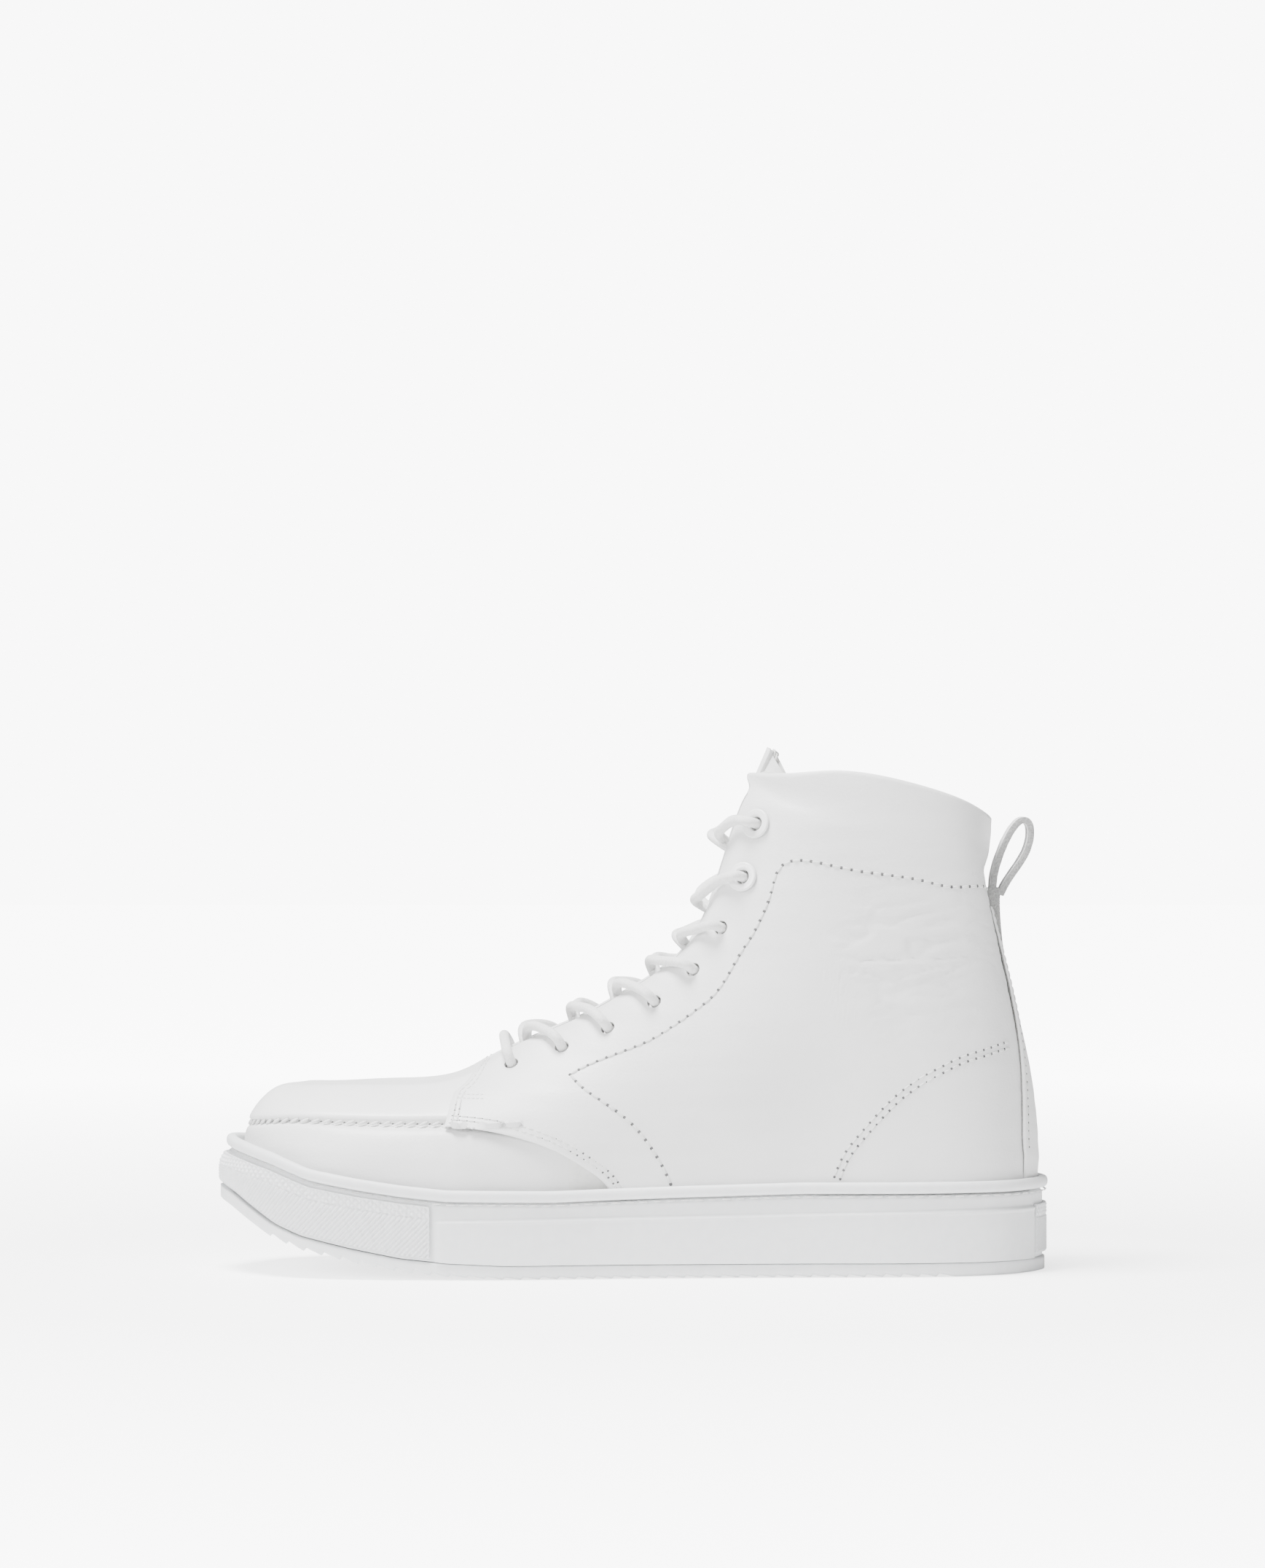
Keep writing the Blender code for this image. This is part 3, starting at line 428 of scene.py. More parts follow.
def give_thickness(made, thickness, offset):
    """Thickens a sheet. Its rim takes the second material, because a cut edge is raw."""
    wall = made.modifiers.new("thickness", "SOLIDIFY")
    wall.thickness = thickness
    wall.offset = offset
    wall.material_offset_rim = 1


def soften_edges(made, width):
    rounded = made.modifiers.new("edge", "BEVEL")
    rounded.width = width
    rounded.segments = 2
    rounded.limit_method = "ANGLE"


def aim(bm, axis, middle, verts):
    """Turns verts from the Z axis to an axis and moves them to a middle."""
    bmesh.ops.transform(bm, matrix=axis.to_track_quat("Z", "Y").to_matrix().to_4x4(), verts=verts)
    bmesh.ops.translate(bm, vec=middle, verts=verts)


def edge_drop(points, width, depth, sides=(1, 1, 1, 1)):
    """How far the face drops at each point for its distance to the patch's left, right, bottom, top."""
    drop = np.zeros(points.shape[:2])
    for side, wanted in enumerate(sides):
        if not wanted:
            continue
        axis = 0 if side < 2 else 1
        line = np.take(points, 0 if side % 2 == 0 else -1, axis=axis)
        away = np.linalg.norm(points - np.expand_dims(line, axis), axis=-1)
        near = np.clip(1 - away / width, 0, 1)
        drop = np.maximum(drop, depth * (1 - np.sqrt(np.maximum(1 - near**2, 0))))
    return drop


def ankle_folds(points):
    """Fine folds where the ankle bends, strongest at a height of 112 mm near the heel."""
    flat = points.reshape(-1, 3) / MM
    heights = []
    for x, y, z in flat:
        bend = noise.noise(Vector((x * 0.03, y * 0.03, z * 0.012))) * 4
        value = noise.noise(Vector((x * 0.06, y * 0.05, (z + bend) * 0.2)))
        value += 0.5 * noise.noise(Vector((x * 0.1, y * 0.08, (z + bend) * 0.36 + 31)))
        ridge = 1 - abs(value) * 3.2
        zone = math.exp(-(((z - 112) / 26) ** 2)) * (0.3 + 0.7 * math.exp(-(((x - 95) / 26) ** 2)))
        zone *= max(0.0, min(1.0, (x - 66) / 14))
        heights.append(-max(0.0, ridge) ** 2 * zone * max(0.0, min(1.0, (z - 55) / 30)))
    return np.array(heights).reshape(points.shape[:2])


def crease(points, strength):
    """Soft cross wrinkles in the leather: noise stretched along the shoe and squeezed in height."""
    flat = points.reshape(-1, 3)
    value = np.array([noise.noise(Vector((p[0] * 28, p[1] * 28, p[2] * 210))) for p in flat])
    broad = np.array([noise.noise(Vector((p[0] * 16 + 7, p[1] * 16, p[2] * 16))) for p in flat])
    return (value.reshape(points.shape[:2]) + 1.1 * broad.reshape(points.shape[:2])) * strength


def panel(name, places, top_level, thickness, nodes, skins=(LEATHER_SKIN, PALE_EDGE),
          extra=None, wrinkle=0.0, sides=(1, 1, 1, 1), roll=0.8):
    """A leather panel: a patch of the last whose outer face is at a level, with its thickness inwards."""
    across, up = places.shape[0] - 1, places.shape[1] - 1
    base = on_last(places[..., 0], places[..., 1])
    level = np.full(base.shape[:2], top_level) - edge_drop(base, roll * MM, 0.55 * thickness, sides)
    if extra is not None:
        level = level + extra
    if wrinkle:
        level = level + crease(base, wrinkle)
    points = base + outward(places[..., 0], places[..., 1]) * level[..., None]
    bm, verts = grid(across, up)
    for vert, u, v in verts:
        vert.co = points[round(u * across), round(v * up)]
    made = finished(bm, name, skins, "shoe", nodes)
    give_thickness(made, thickness, -1.0)
    return made


def mirrored(places):
    """The same patch on the medial side."""
    flipped = places[::-1].copy()
    flipped[..., 0] = ROUND - flipped[..., 0]
    return flipped


def swept(name, rings, closed_round, skins, nodes):
    """A closed skin from an (along, around, 3) array of section points."""
    along, around = rings.shape[:2]
    bm, verts = grid(along if closed_round else along - 1, around)
    for vert, u, v in verts:
        i = round(u * (along if closed_round else along - 1)) % along
        vert.co = rings[i, round(v * around) % around]
    bmesh.ops.remove_doubles(bm, verts=bm.verts, dist=1e-7)
    if not closed_round:
        bmesh.ops.holes_fill(bm, edges=[e for e in bm.edges if e.is_boundary], sides=0)
    bmesh.ops.recalc_face_normals(bm, faces=bm.faces)
    return finished(bm, name, skins, "shoe", nodes)


print("panel helpers ready, DETAIL", DETAIL)

# %% [markdown]
# ## Quarters
# The quarters wrap the heel and ankle and carry the lace holes. Each is one sheet of leather from the
# front edge, over the eyestay, round the collar to the back seam. The lace holes are punched with a
# Boolean, after the sheet has its thickness.

# %% The two quarters and their linings
QUARTER_FRONT = [(-5, 23), (-9, 32), (-16, 38), (-24, 43), (-36, 48), (-51, 51.5), (-65, 53),
                 (-66, 55), (-63.5, 64), (-58.5, 68.5)]
HOLES = [(-43, 74), (-25, 80), (-8.5, 87), (8, 96.5), (22, 108), (32, 123), (40, 141), (45, 160)]
LEATHER = 1.4 * MM
HOLE_RADIUS = 2.6 * MM
hole_places = locate(HOLES)


def hole_frame(place, side):
    """A hole's middle on the last and its outward direction. side is -1 lateral, 1 medial."""
    s = place[0] if side < 0 else ROUND - place[0]
    return Vector(on_last(s, place[1])), Vector(outward(s, place[1]))


def punch(made, side, radius, depth):
    """Cuts the lace holes of one side through a panel."""
    bm = bmesh.new()
    for place in hole_places:
        middle, axis = hole_frame(place, side)
        tool = bmesh.ops.create_cone(bm, cap_ends=True, segments=28, radius1=radius, radius2=radius,
                                     depth=depth)
        turn = axis.to_track_quat("Z", "Y").to_matrix().to_4x4()
        bmesh.ops.transform(bm, matrix=Matrix.Translation(middle) @ turn, verts=tool["verts"])
    tool = linked_mesh(bm, "punch", [made.data.materials[1]])
    cut = made.modifiers.new("holes", "BOOLEAN")
    cut.operation = "DIFFERENCE"
    cut.object = tool
    cut.material_mode = "TRANSFER"
    bpy.context.view_layer.update()
    bake(made)
    bpy.data.objects.remove(tool, do_unlink=True)
    made.data.shade_smooth()
    made.data.set_sharp_from_angle(angle=math.radians(50))


def eyestay_dip(points):
    """Leather is drawn in a little round each hole."""
    dip = np.zeros(points.shape[:2])
    for place in hole_places:
        away = np.linalg.norm(points - on_last(place[0], place[1]), axis=-1)
        dip -= 0.35 * MM * np.exp(-((away / (4.2 * MM)) ** 2))
    return dip


heel = HEEL - 0.01
front = locate(QUARTER_FRONT)
front.append((THROAT_FOOT, throat_edge(THROAT_FOOT)))
front[0] = (front[0][0], 0.0)
rim = [(s, 1.0) for s in (11.2, 12, 13, 14, heel)]
rim_edge = throat()[:-1] + [(THROAT_HEAD, 1.0)] + rim
quarter = patch(front, [(heel, 0.0), (heel, 0.5), (heel, 1.0)], [front[0], (heel, 0.0)], rim_edge,
                int(190 * DETAIL), int(150 * DETAIL))
base = on_last(quarter[..., 0], quarter[..., 1])
dip = eyestay_dip(base) + ankle_folds(base) * 0.75 * MM
inset = throat(2.0 * MM, 5.6)
lining_top = inset[:-1] + [(THROAT_HEAD + 0.05, 0.992)] + [(s, 0.992) for s in (11.2, 12, 13, 14, heel)]
lining = patch([(5.6, 0.05), (5.6, 0.5), lining_top[0]], [(heel, 0.05), (heel, 0.5), lining_top[-1]],
               [(5.6, 0.05), (heel, 0.05)], lining_top, int(90 * DETAIL), int(60 * DETAIL))
for side, turn, sign in (("lateral", lambda p: p, -1), ("medial", mirrored, 1)):
    flank = panel("flank_" + side, turn(quarter), LEATHER, LEATHER, ["quarter_" + side],
                  extra=dip if sign < 0 else dip[::-1], wrinkle=0.16 * MM,
                  sides=(1, 0, 0, 1) if sign < 0 else (0, 1, 0, 1))
    punch(flank, sign, HOLE_RADIUS, 9 * MM)
    inner = panel("flank_inner_" + side, turn(lining), -1.3 * MM, 1.6 * MM, ["quarter_lining_" + side],
                  skins=(LINING_SKIN, LINING_SKIN))
    punch(inner, sign, HOLE_RADIUS + 0.6 * MM, 9 * MM)
    print(flank.name, len(flank.data.polygons), "faces")

# %% [markdown]
# ## The toe: vamp and apron
# The vamp is pulled round the toe and the apron is a plug set into it. On the real shoe the plug's edge
# is rolled over the seam and hand-whipped with thick thread. Here the plug's outer face is lifted and
# drops at its border, so that it overhangs the seam, and fine flex wrinkles cross the vamp at the ball.

# %% Vamp, apron and their linings
APRON_SEAM = [(-139.6, 52), (-131, 54.5), (-117, 56), (-95, 56), (-66, 55.5), (-52, 55), (-38, 55)]
SEAM_AT_TOE = 0.24
seam_line = np.array([(0.0, SEAM_AT_TOE)] + locate(APRON_SEAM)[1:])
smooth_s = np.linspace(0, seam_line[-1, 0], 60)
smooth_t = np.interp(smooth_s, seam_line[:, 0], seam_line[:, 1])
for _ in range(30):
    smooth_t[1:-1] = (smooth_t[:-2] + 2 * smooth_t[1:-1] + smooth_t[2:]) / 4
    smooth_t[0] = smooth_t[1]


def seam_t(s):
    """The height of the apron's seam at rib s, either side of the toe."""
    return np.interp(np.abs(s), smooth_s, smooth_t)


def round_toe(reach, low, high, across, up):
    """A patch that runs round the toe, medial to lateral, between two heights f(s)."""
    s = np.linspace(-reach, reach, across + 1)
    v = np.linspace(0, 1, up + 1)[None, :]
    t = low(s)[:, None] * (1 - v) + high(s)[:, None] * v
    return np.stack([np.broadcast_to(s[:, None], t.shape), t], axis=-1)


def plug(reach, spare, across, along):
    """The apron's patch: rows across the toe from seam to seam, over the ridge."""
    s = reach * np.linspace(0, 1, along + 1)[:, None] ** 0.9
    v = np.linspace(-1, 1, across + 1)[None, :]
    edge = seam_t(s) + spare
    t = edge + (1 - edge) * (1 - np.abs(v)) * 0.9995
    return np.stack([np.where(v < 0, s, -s) * np.ones_like(t), t], axis=-1)


vamp = round_toe(6.3, lambda s: 0 * s, lambda s: seam_t(s) + 0.014, int(200 * DETAIL), int(40 * DETAIL))
vamp_base = on_last(vamp[..., 0], vamp[..., 1])
flex = np.exp(-(((vamp_base[..., 0] / MM + 64) / 13) ** 2)) * np.clip(vamp[..., 1] * 3, 0, 1)
waves = np.array([noise.noise(Vector((p[0] * 420, p[1] * 60, p[2] * 120)))
                  for p in vamp_base.reshape(-1, 3)])
seam_tuck = -1.5 * MM * np.exp(-(np.maximum(seam_t(vamp[..., 0]) - vamp[..., 1], 0) / 0.03) ** 2)
seam_tuck -= 1.0 * MM * np.clip((np.abs(vamp[..., 0]) - 4.3) / 0.5, 0, 1)
panel("vamp_leather", vamp, -0.4 * MM, LEATHER, ["vamp"], wrinkle=0.12 * MM, sides=(0, 0, 0, 0),
      extra=flex * (waves.reshape(flex.shape) - 0.5) * 0.5 * MM + seam_tuck)
panel("vamp_inner", vamp[1:-1, 1:-1], -3.4 * MM, 1.0 * MM, ["vamp_lining", "toe_puff"],
      skins=(LINING_SKIN, LINING_SKIN))


def apron_panel(name, level, thickness, reach, nodes, skins, crown):
    """An apron sheet with a crown over its border. Its middle row is pulled onto the shoe's centre line."""
    places = plug(reach, 0.002, int(110 * DETAIL), int(90 * DETAIL))
    base = on_last(places[..., 0], places[..., 1])
    gaps = [np.linalg.norm(base - edge, axis=-1) for edge in (base[:, :1], base[:, -1:], base[:1, :])]
    near = np.clip(1 - np.minimum.reduce(gaps) / (3.2 * MM), 0, 1)
    lift = crown * (1 - near**3) - 1.7 * MM * (near > 0.999)
    made = panel(name, places, level, thickness, nodes, skins=skins, sides=(0, 0, 0, 0),
                 extra=lift, wrinkle=0.07 * MM)
    mesh = made.data
    for vert in mesh.vertices:
        if abs(vert.co.y) < 0.4 * MM and vert.co.x < base[0, :, 0].max() + 0.6 * MM:
            vert.co.y = 0
    bm = bmesh.new()
    bm.from_mesh(mesh)
    bmesh.ops.remove_doubles(bm, verts=bm.verts, dist=0.02 * MM)
    bm.to_mesh(mesh)
    bm.free()
    return made


apron_panel("apron_plug", -0.4 * MM, LEATHER, 4.62, ["apron"], (APRON_SKIN, LEATHER_SKIN),
            0.9 * MM)
apron_panel("apron_inner", -3.4 * MM, 1.0 * MM, 4.4, ["apron_lining"], (LINING_SKIN, LINING_SKIN),
            0.0)
print("vamp and apron made")

# %% [markdown]
# ## Heel: backstay, counter and loop
# A strip of leather covers the back seam. A strap is sewn on above it and folded back on itself, so that
# the wearer can pull the shoe on. Its edges are cut and left raw, so they are grey and a little fuzzy.

# %% Backstay, heel counter and pull loop
BACKSTAY_HALF = [(34, 17.5), (46, 18.5), (60, 17), (79, 14), (100, 12), (125, 9.5), (134, 8)]
counter_line = np.array(locate([(70, 34), (84, 50), (100, 67), (119, 78), (137, 83)]))
counter_s = np.linspace(-(HEEL - counter_line[0, 0]), HEEL - counter_line[0, 0], 81)
counter_top = np.interp(HEEL - np.abs(counter_s), counter_line[:, 0], counter_line[:, 1])
rise = np.linspace(0, 1, 31)[None, :]
counter = np.stack([np.broadcast_to(HEEL + counter_s[:, None], (81, 31)),
                    0.03 + (counter_top[:, None] - 0.03) * rise], axis=-1)
panel("counter_board", counter, -0.4 * MM, 0.8 * MM, ["heel_counter"], skins=(BOARD, BOARD))


def stay_half(v):
    """Half the backstay's width at height v, as a distance in ribs."""
    half = table(BACKSTAY_HALF, on_last(float(HEEL), v)[2] / MM) * MM
    return half / (2 * np.linalg.norm(on_last(HEEL + 0.5, v) - on_last(float(HEEL), v)))


stay = np.array([[(HEEL + k * stay_half(v), v) for v in np.linspace(0.005, 0.56, int(80 * DETAIL))]
                 for k in np.linspace(-1, 1, int(44 * DETAIL))])
STAY_LEVEL = 2.9 * MM
panel("backstay_leather", stay, STAY_LEVEL, LEATHER, ["backstay"], skins=(LEATHER_SKIN, CUT_EDGE),
      wrinkle=0.1 * MM, extra=-1.25 * MM * np.clip(1 - (stay[..., 1] - 0.005) / 0.07, 0, 1), roll=0.5)

LOOP_PATH = [(130.0, 134.6), (130.8, 143), (134, 152.5), (137.6, 159), (141.0, 161.6), (143.6, 158.8),
             (142.0, 150), (136.2, 141), (132.7, 134.6)]
STRAP_WIDTH, STRAP_THICKNESS = 13.0 * MM, 2.4 * MM


def strap(name, path, body, nodes):
    """A strap of constant thickness along a side-view path."""
    along, across = int(len(path) * 14), 16
    bm, verts = grid(along, across)
    spine = np.array(path, float)
    centre = weights(np.linspace(0, len(path) - 1, along + 1), len(path), False) @ spine
    for vert, u, v in verts:
        x, z = centre[round(u * along)]
        worn = noise.noise(Vector((x * 0.35, v * 3, z * 0.35))) * 0.25
        vert.co = ((x + worn * 0.4) * MM, (v - 0.5) * STRAP_WIDTH, z * MM)
    made = finished(bm, name, (LEATHER_SKIN, CUT_EDGE), body, nodes)
    give_thickness(made, STRAP_THICKNESS, 0.0)
    soften_edges(made, 0.3 * MM)


strap("loop_strap", LOOP_PATH, "pull_loop", ["pull_loop"])
TAIL_TOP, TAIL_FOOT = 137.2, 104.0
TAIL_STEPS, TAIL_AROUND = 60, 20
tail_z = np.linspace(TAIL_TOP, TAIL_FOOT, TAIL_STEPS)
heel_t = np.linspace(0.3, 0.8, 300)
heel_places = on_last(np.full_like(heel_t, float(HEEL)), heel_t) / MM
skin_x = np.interp(tail_z, heel_places[:, 2], heel_places[:, 0])
down = (TAIL_TOP - tail_z) / (TAIL_TOP - TAIL_FOOT)
thick = 4.9 * (1 - down) ** 1.3 + 0.15
rings = np.zeros((TAIL_STEPS, TAIL_AROUND, 3))
for j in range(TAIL_AROUND):
    angle = 2 * math.pi * (j + 0.5) / TAIL_AROUND
    c, w = math.cos(angle), math.sin(angle)
    outer = math.copysign(min(1.0, abs(c) * 1.35) ** 0.5, c)
    across_y = math.copysign(min(1.0, abs(w) * 1.35) ** 0.5, w) * 0.5 * (STRAP_WIDTH / MM + 0.2)
    rings[:, j, 0] = skin_x + 2.6 + thick * (0.5 + 0.5 * outer)
    rings[:, j, 1], rings[:, j, 2] = across_y, tail_z
tail = swept("loop_tail", rings * MM, False, (LEATHER_SKIN, CUT_EDGE), ["pull_loop_tail"])
for face in tail.data.polygons:
    face.material_index = int(abs(face.normal.y) > 0.75)
print("heel pieces made")

# %% [markdown]
# ## Cup sole
# The sole is moulded rubber. Its side wall is swept round the feather line, where upper and sole meet.
# A round bead closes the top, a groove with stitches runs below it, and the toe wears a knurled bumper.
# The wall, the bead and the bumpers are separate mouldings, as they are in the frame.

# %% Sole helpers
GROUND = [(-152, 27), (-144, 24), (-128, 14), (-118, 10), (-100, 6), (-82, 2.6), (-66, 1.0), (-45, 0),
          (-28, 0), (60, 0), (152, 0)]
WALL_TOP = [(-150, 48.5), (-142, 47), (-130, 44), (-115, 38.5), (-98, 35.5), (-82, 33.2), (-66, 31.5),
            (-28, 31), (20, 32.5), (60, 33.5), (152, 33.5)]
SOLE_WALL, TOE_WALL, BUMPER, GAP = 3.6 * MM, 7.0 * MM, 1.3 * MM, 0.4 * MM
WALL_INSIDE = LEATHER + GAP
BEAD_HEIGHT, BEAD_PROUD, OUTSOLE = 4.1 * MM, 0.3 * MM, 4.5 * MM
TREAD_PITCH, TREAD_DEPTH = 6.4 * MM, 1.1 * MM
TOE_REACH, HEEL_REACH = 3.95, 0.95


def soft_table(rows):
    """A table as a smooth curve: the straight run between rows is averaged over a centimetre."""
    fine = np.linspace(-156, 156, 1249)
    values = table(rows, fine)
    for _ in range(60):
        values[1:-1] = (values[:-2] + 2 * values[1:-1] + values[2:]) / 4
    return lambda x: np.interp(np.asarray(x) / MM, fine, values) * MM


ground, wall_top = soft_table(GROUND), soft_table(WALL_TOP)


def feather(s, out):
    """Points of the feather line for an array of s, moved outwards in plan."""
    place = on_last(s, 0.0)
    ahead = on_last(np.add(s, 0.02), 0.0) - on_last(np.subtract(s, 0.02), 0.0)
    away = np.stack([ahead[..., 1], -ahead[..., 0]], axis=-1)
    return place[..., :2] + away / np.linalg.norm(away, axis=-1, keepdims=True) * np.asarray(out)[..., None]


def from_toe(s):
    """How many ribs s is from the toe."""
    return np.minimum(s % ROUND, ROUND - s % ROUND)


def from_heel(s):
    """How many ribs s is from the heel."""
    return np.abs(s % ROUND - HEEL)


def wall_out(s):
    """How far the wall's outer face stands from the feather line, thicker round the toe."""
    toe = np.maximum(0, 1 - from_toe(s) / 3.0) ** 1.5
    return WALL_INSIDE + SOLE_WALL * (1 - toe) + toe * TOE_WALL


TOE_SHOULDER = 10.5 * MM


def lean(s, x, z):
    """How far the toe's wall leans in at height z, rounded at its shoulder, up to the bead."""
    shoulder, top = wall_top(x) - TOE_SHOULDER, wall_top(x) - BEAD_HEIGHT
    share = np.clip((z - shoulder) / (top - shoulder), 0, 1)
    return (wall_out(s) - WALL_INSIDE - SOLE_WALL) * share**1.4


def step_up(value, width):
    """A smooth step from 0 to 1 as value passes 0."""
    k = np.clip(value / width + 0.5, 0, 1)
    return k * k * (3 - 2 * k)


print("toe spring", round(float(ground(-0.14)) / MM, 1), "mm")

# %% [markdown]
# ### Wall, bead and bumpers
# The wall's section is worked out at each step round the shoe. A raised side panel runs between the
# bumpers, and the wall steps back where a bumper sits on it. The knurl is a wave in two directions.

# %% Side wall, bead and bumpers
WALL_STEPS = int(900 * DETAIL)
s = np.arange(WALL_STEPS) / WALL_STEPS * ROUND
outer_x = feather(s, wall_out(s))[:, 0]
low = ground(outer_x) + OUTSOLE + GAP
high = wall_top(outer_x) - BEAD_HEIGHT - GAP
recess = np.maximum(step_up(TOE_REACH + 0.08 - from_toe(s), 0.05),
                    step_up(HEEL_REACH + 0.08 - from_heel(s), 0.05))
face = wall_out(s) - recess * (BUMPER + GAP)
panel_top = table([(-150, 20.0), (-72, 20.4), (30, 21.6), (134, 23.4)], outer_x / MM) * MM
HEIGHTS = np.concatenate([np.linspace(0, 0.985, int(64 * DETAIL)), [1.0]])
rings = np.zeros((WALL_STEPS, len(HEIGHTS) + 6, 3))
for j, k in enumerate(HEIGHTS):
    z = low + (high - low) * k
    band = (1 - recess) * step_up(panel_top - z, 0.9 * MM)
    lip = (1 - recess) * np.exp(-(((z - panel_top + 0.5 * MM) / (0.7 * MM)) ** 2)) * 0.3 * MM
    out = face - 1.2 * MM * (1 - recess) * (1 - band) + lip
    out = out - 0.4 * MM * (k > 0.99) - 0.9 * MM * np.exp(-(((high - z) / (0.9 * MM)) ** 2))
    rings[:, j, :2] = feather(s, out - lean(s, outer_x, z))
    rings[:, j, 2] = z
inner = WALL_INSIDE + 0 * s
closing = [((face - lean(s, outer_x, high)) * 0.5 + WALL_INSIDE * 0.5, high), (inner, high),
           (inner, high * 0.6 + low * 0.4), (inner, low * 0.7 + high * 0.3), (inner, low),
           (face * 0.5 + WALL_INSIDE * 0.5, low)]
for j, (out, z) in enumerate(closing):
    rings[:, len(HEIGHTS) + j, :2] = feather(s, out)
    rings[:, len(HEIGHTS) + j, 2] = z
swept("cup_wall", rings, True, (RUBBER,), ["sidewall"])

angles = np.linspace(0, 2 * np.pi, 24, endpoint=False)
half = (SOLE_WALL + BEAD_PROUD) / 2
middle = WALL_INSIDE + half + 0 * s
top = wall_top(outer_x)
bead = np.zeros((WALL_STEPS, len(angles), 3))
for j, angle in enumerate(angles):
    c, h = math.copysign(abs(math.cos(angle)) ** 0.75, math.cos(angle)), math.sin(angle)
    bead[:, j, :2] = feather(s, middle + half * c)
    bead[:, j, 2] = top - BEAD_HEIGHT / 2 + BEAD_HEIGHT / 2 * math.copysign(abs(h) ** 0.85, h)
swept("cup_bead", bead, True, (RUBBER,), ["welt_bead"])


def bumper(name, reach, centre, low_by, high_by, cell, depth, across, up, node):
    """A moulded pad on the wall, with pyramids in relief. cell is their pitch, coarser in the top band."""
    u = np.linspace(-1, 1, across)
    k = np.linspace(0, 1, up)
    su = centre + reach * u
    out = wall_out(su)
    x = feather(su, out)[:, 0]
    bottom, top_z = ground(x) + OUTSOLE + low_by, wall_top(x) - BEAD_HEIGHT - high_by
    edge = feather(su, out)
    run = run_along(edge)
    z = bottom[:, None] + (top_z - bottom)[:, None] * k[None, :]
    height = (top_z[:, None] - z)
    coarse = height < 4.4 * MM
    pitch = np.where(coarse, cell * 1.35, cell)
    a = (run[:, None] + z) / pitch
    b = (run[:, None] - z) / pitch
    wave = np.minimum(np.abs((a % 1) - 0.5), np.abs((b % 1) - 0.5)) * 2
    wave = np.where(coarse, wave, np.abs((b % 1) - 0.5) * 1.4 + 0.3 * wave)
    border = np.minimum(np.minimum(height, z - bottom[:, None]) / (0.5 * MM), 1)
    ends = np.minimum(np.minimum(run, run[-1] - run)[:, None] / (0.6 * MM), 1)
    seam_band = np.exp(-(((height - 4.4 * MM) / (0.3 * MM)) ** 2))
    level = out[:, None] - depth * (1 - wave) * np.clip(border * ends, 0, 1) - 0.3 * MM * seam_band
    level = level - 0.35 * MM * (1 - np.clip(border, 0, 1)) - 0.35 * MM * (1 - np.clip(ends, 0, 1))
    made = np.zeros((across, up + 3, 3))
    for j in range(up):
        made[:, j, :2] = feather(su, level[:, j] - lean(su, x, z[:, j]))
        made[:, j, 2] = z[:, j]
    for j, zz in ((up, top_z), (up + 1, wall_top(x) - TOE_SHOULDER), (up + 2, bottom)):
        made[:, j, :2] = feather(su, out - BUMPER - lean(su, x, zz))
        made[:, j, 2] = zz
    return swept(name, made, False, (RUBBER,), [node])


bumper("toe_guard", TOE_REACH, 0.0, 1.5 * MM, 2.2 * MM, 2.0 * MM, 0.9 * MM,
       int(760 * DETAIL), int(56 * DETAIL), "toe_bumper")
bumper("heel_guard", HEEL_REACH, float(HEEL), 2.0 * MM, 5.5 * MM, 1.8 * MM, 0.5 * MM,
       int(240 * DETAIL), int(60 * DETAIL), "heel_bumper")

# %% [markdown]
# ### Outsole and the layers in the sole
# The outsole's edge shows saw teeth, which grip the floor. They are drawn in the outsole's own underside,
# and stop short at the toe and heel. A board, a foam core and a footbed fill the cup, each closed.

# %% Outsole and filling
TEETH = (-0.128, 0.114)
TREAD_SHARE = [(-128, 1.2), (-80, 1.2), (-60, 0.75), (60, 0.75), (90, 1.0), (114, 1.0)]


def plate(name, out, bottom, top, step, skins, nodes, rims=6):
    """A flat layer with the shoe's outline, and a rounded edge. Its faces are heights f(x)."""
    sides = []
    for ends in ((0.0, HEEL), (ROUND, HEEL)):
        line = np.linspace(*ends, 600)
        places = feather(line, out(line))
        sides.append(places[places[:, 0].argsort()])
    begin = max(side[0, 0] for side in sides) + 0.2 * MM
    end = min(side[-1, 0] for side in sides) - 0.2 * MM
    ease = (1 - np.cos(np.linspace(0, np.pi, 25))) / 2
    xs = np.concatenate([begin + ease[:12] * 12 * MM, np.arange(begin + 7 * MM, end - 7 * MM, step),
                         end - ease[11::-1] * 12 * MM])
    xs = np.unique(np.round(xs, 6))
    ys = [np.interp(xs, side[:, 0], side[:, 1]) for side in sides]
    low, high = bottom(xs), top(xs)
    ring = []
    for side, order in ((0, 1), (1, -1)):
        sign = -1 if side == 0 else 1
        for k in np.linspace(0, 1, rims)[::order]:
            round_off = 0.5 * MM * (1 - math.sin(math.pi * k)) ** 2
            ring.append(np.column_stack([xs, ys[side] - sign * round_off, low + (high - low) * k]))
    rings = np.stack(ring, axis=1)
    return swept(name, rings, False, skins, nodes)


def tread(x):
    """The underside: a saw tooth, deeper towards the toe, with plain ends."""
    phase = ((x - TEETH[0]) / TREAD_PITCH) % 1.0
    deep = TREAD_DEPTH * table(TREAD_SHARE, x / MM)
    inside = step_up(x - TEETH[0], 1 * MM) * step_up(TEETH[1] - x, 1 * MM)
    tooth = np.where(phase < 0.85, 1 - phase / 0.85, (phase - 0.85) / 0.15)
    return ground(x) + deep * tooth * inside


def feather_height(x):
    """The height of the feather line at x."""
    steps = np.linspace(0, HEEL, 300)
    places = on_last(steps, np.zeros_like(steps))
    return np.interp(x, places[:, 0], places[:, 2])


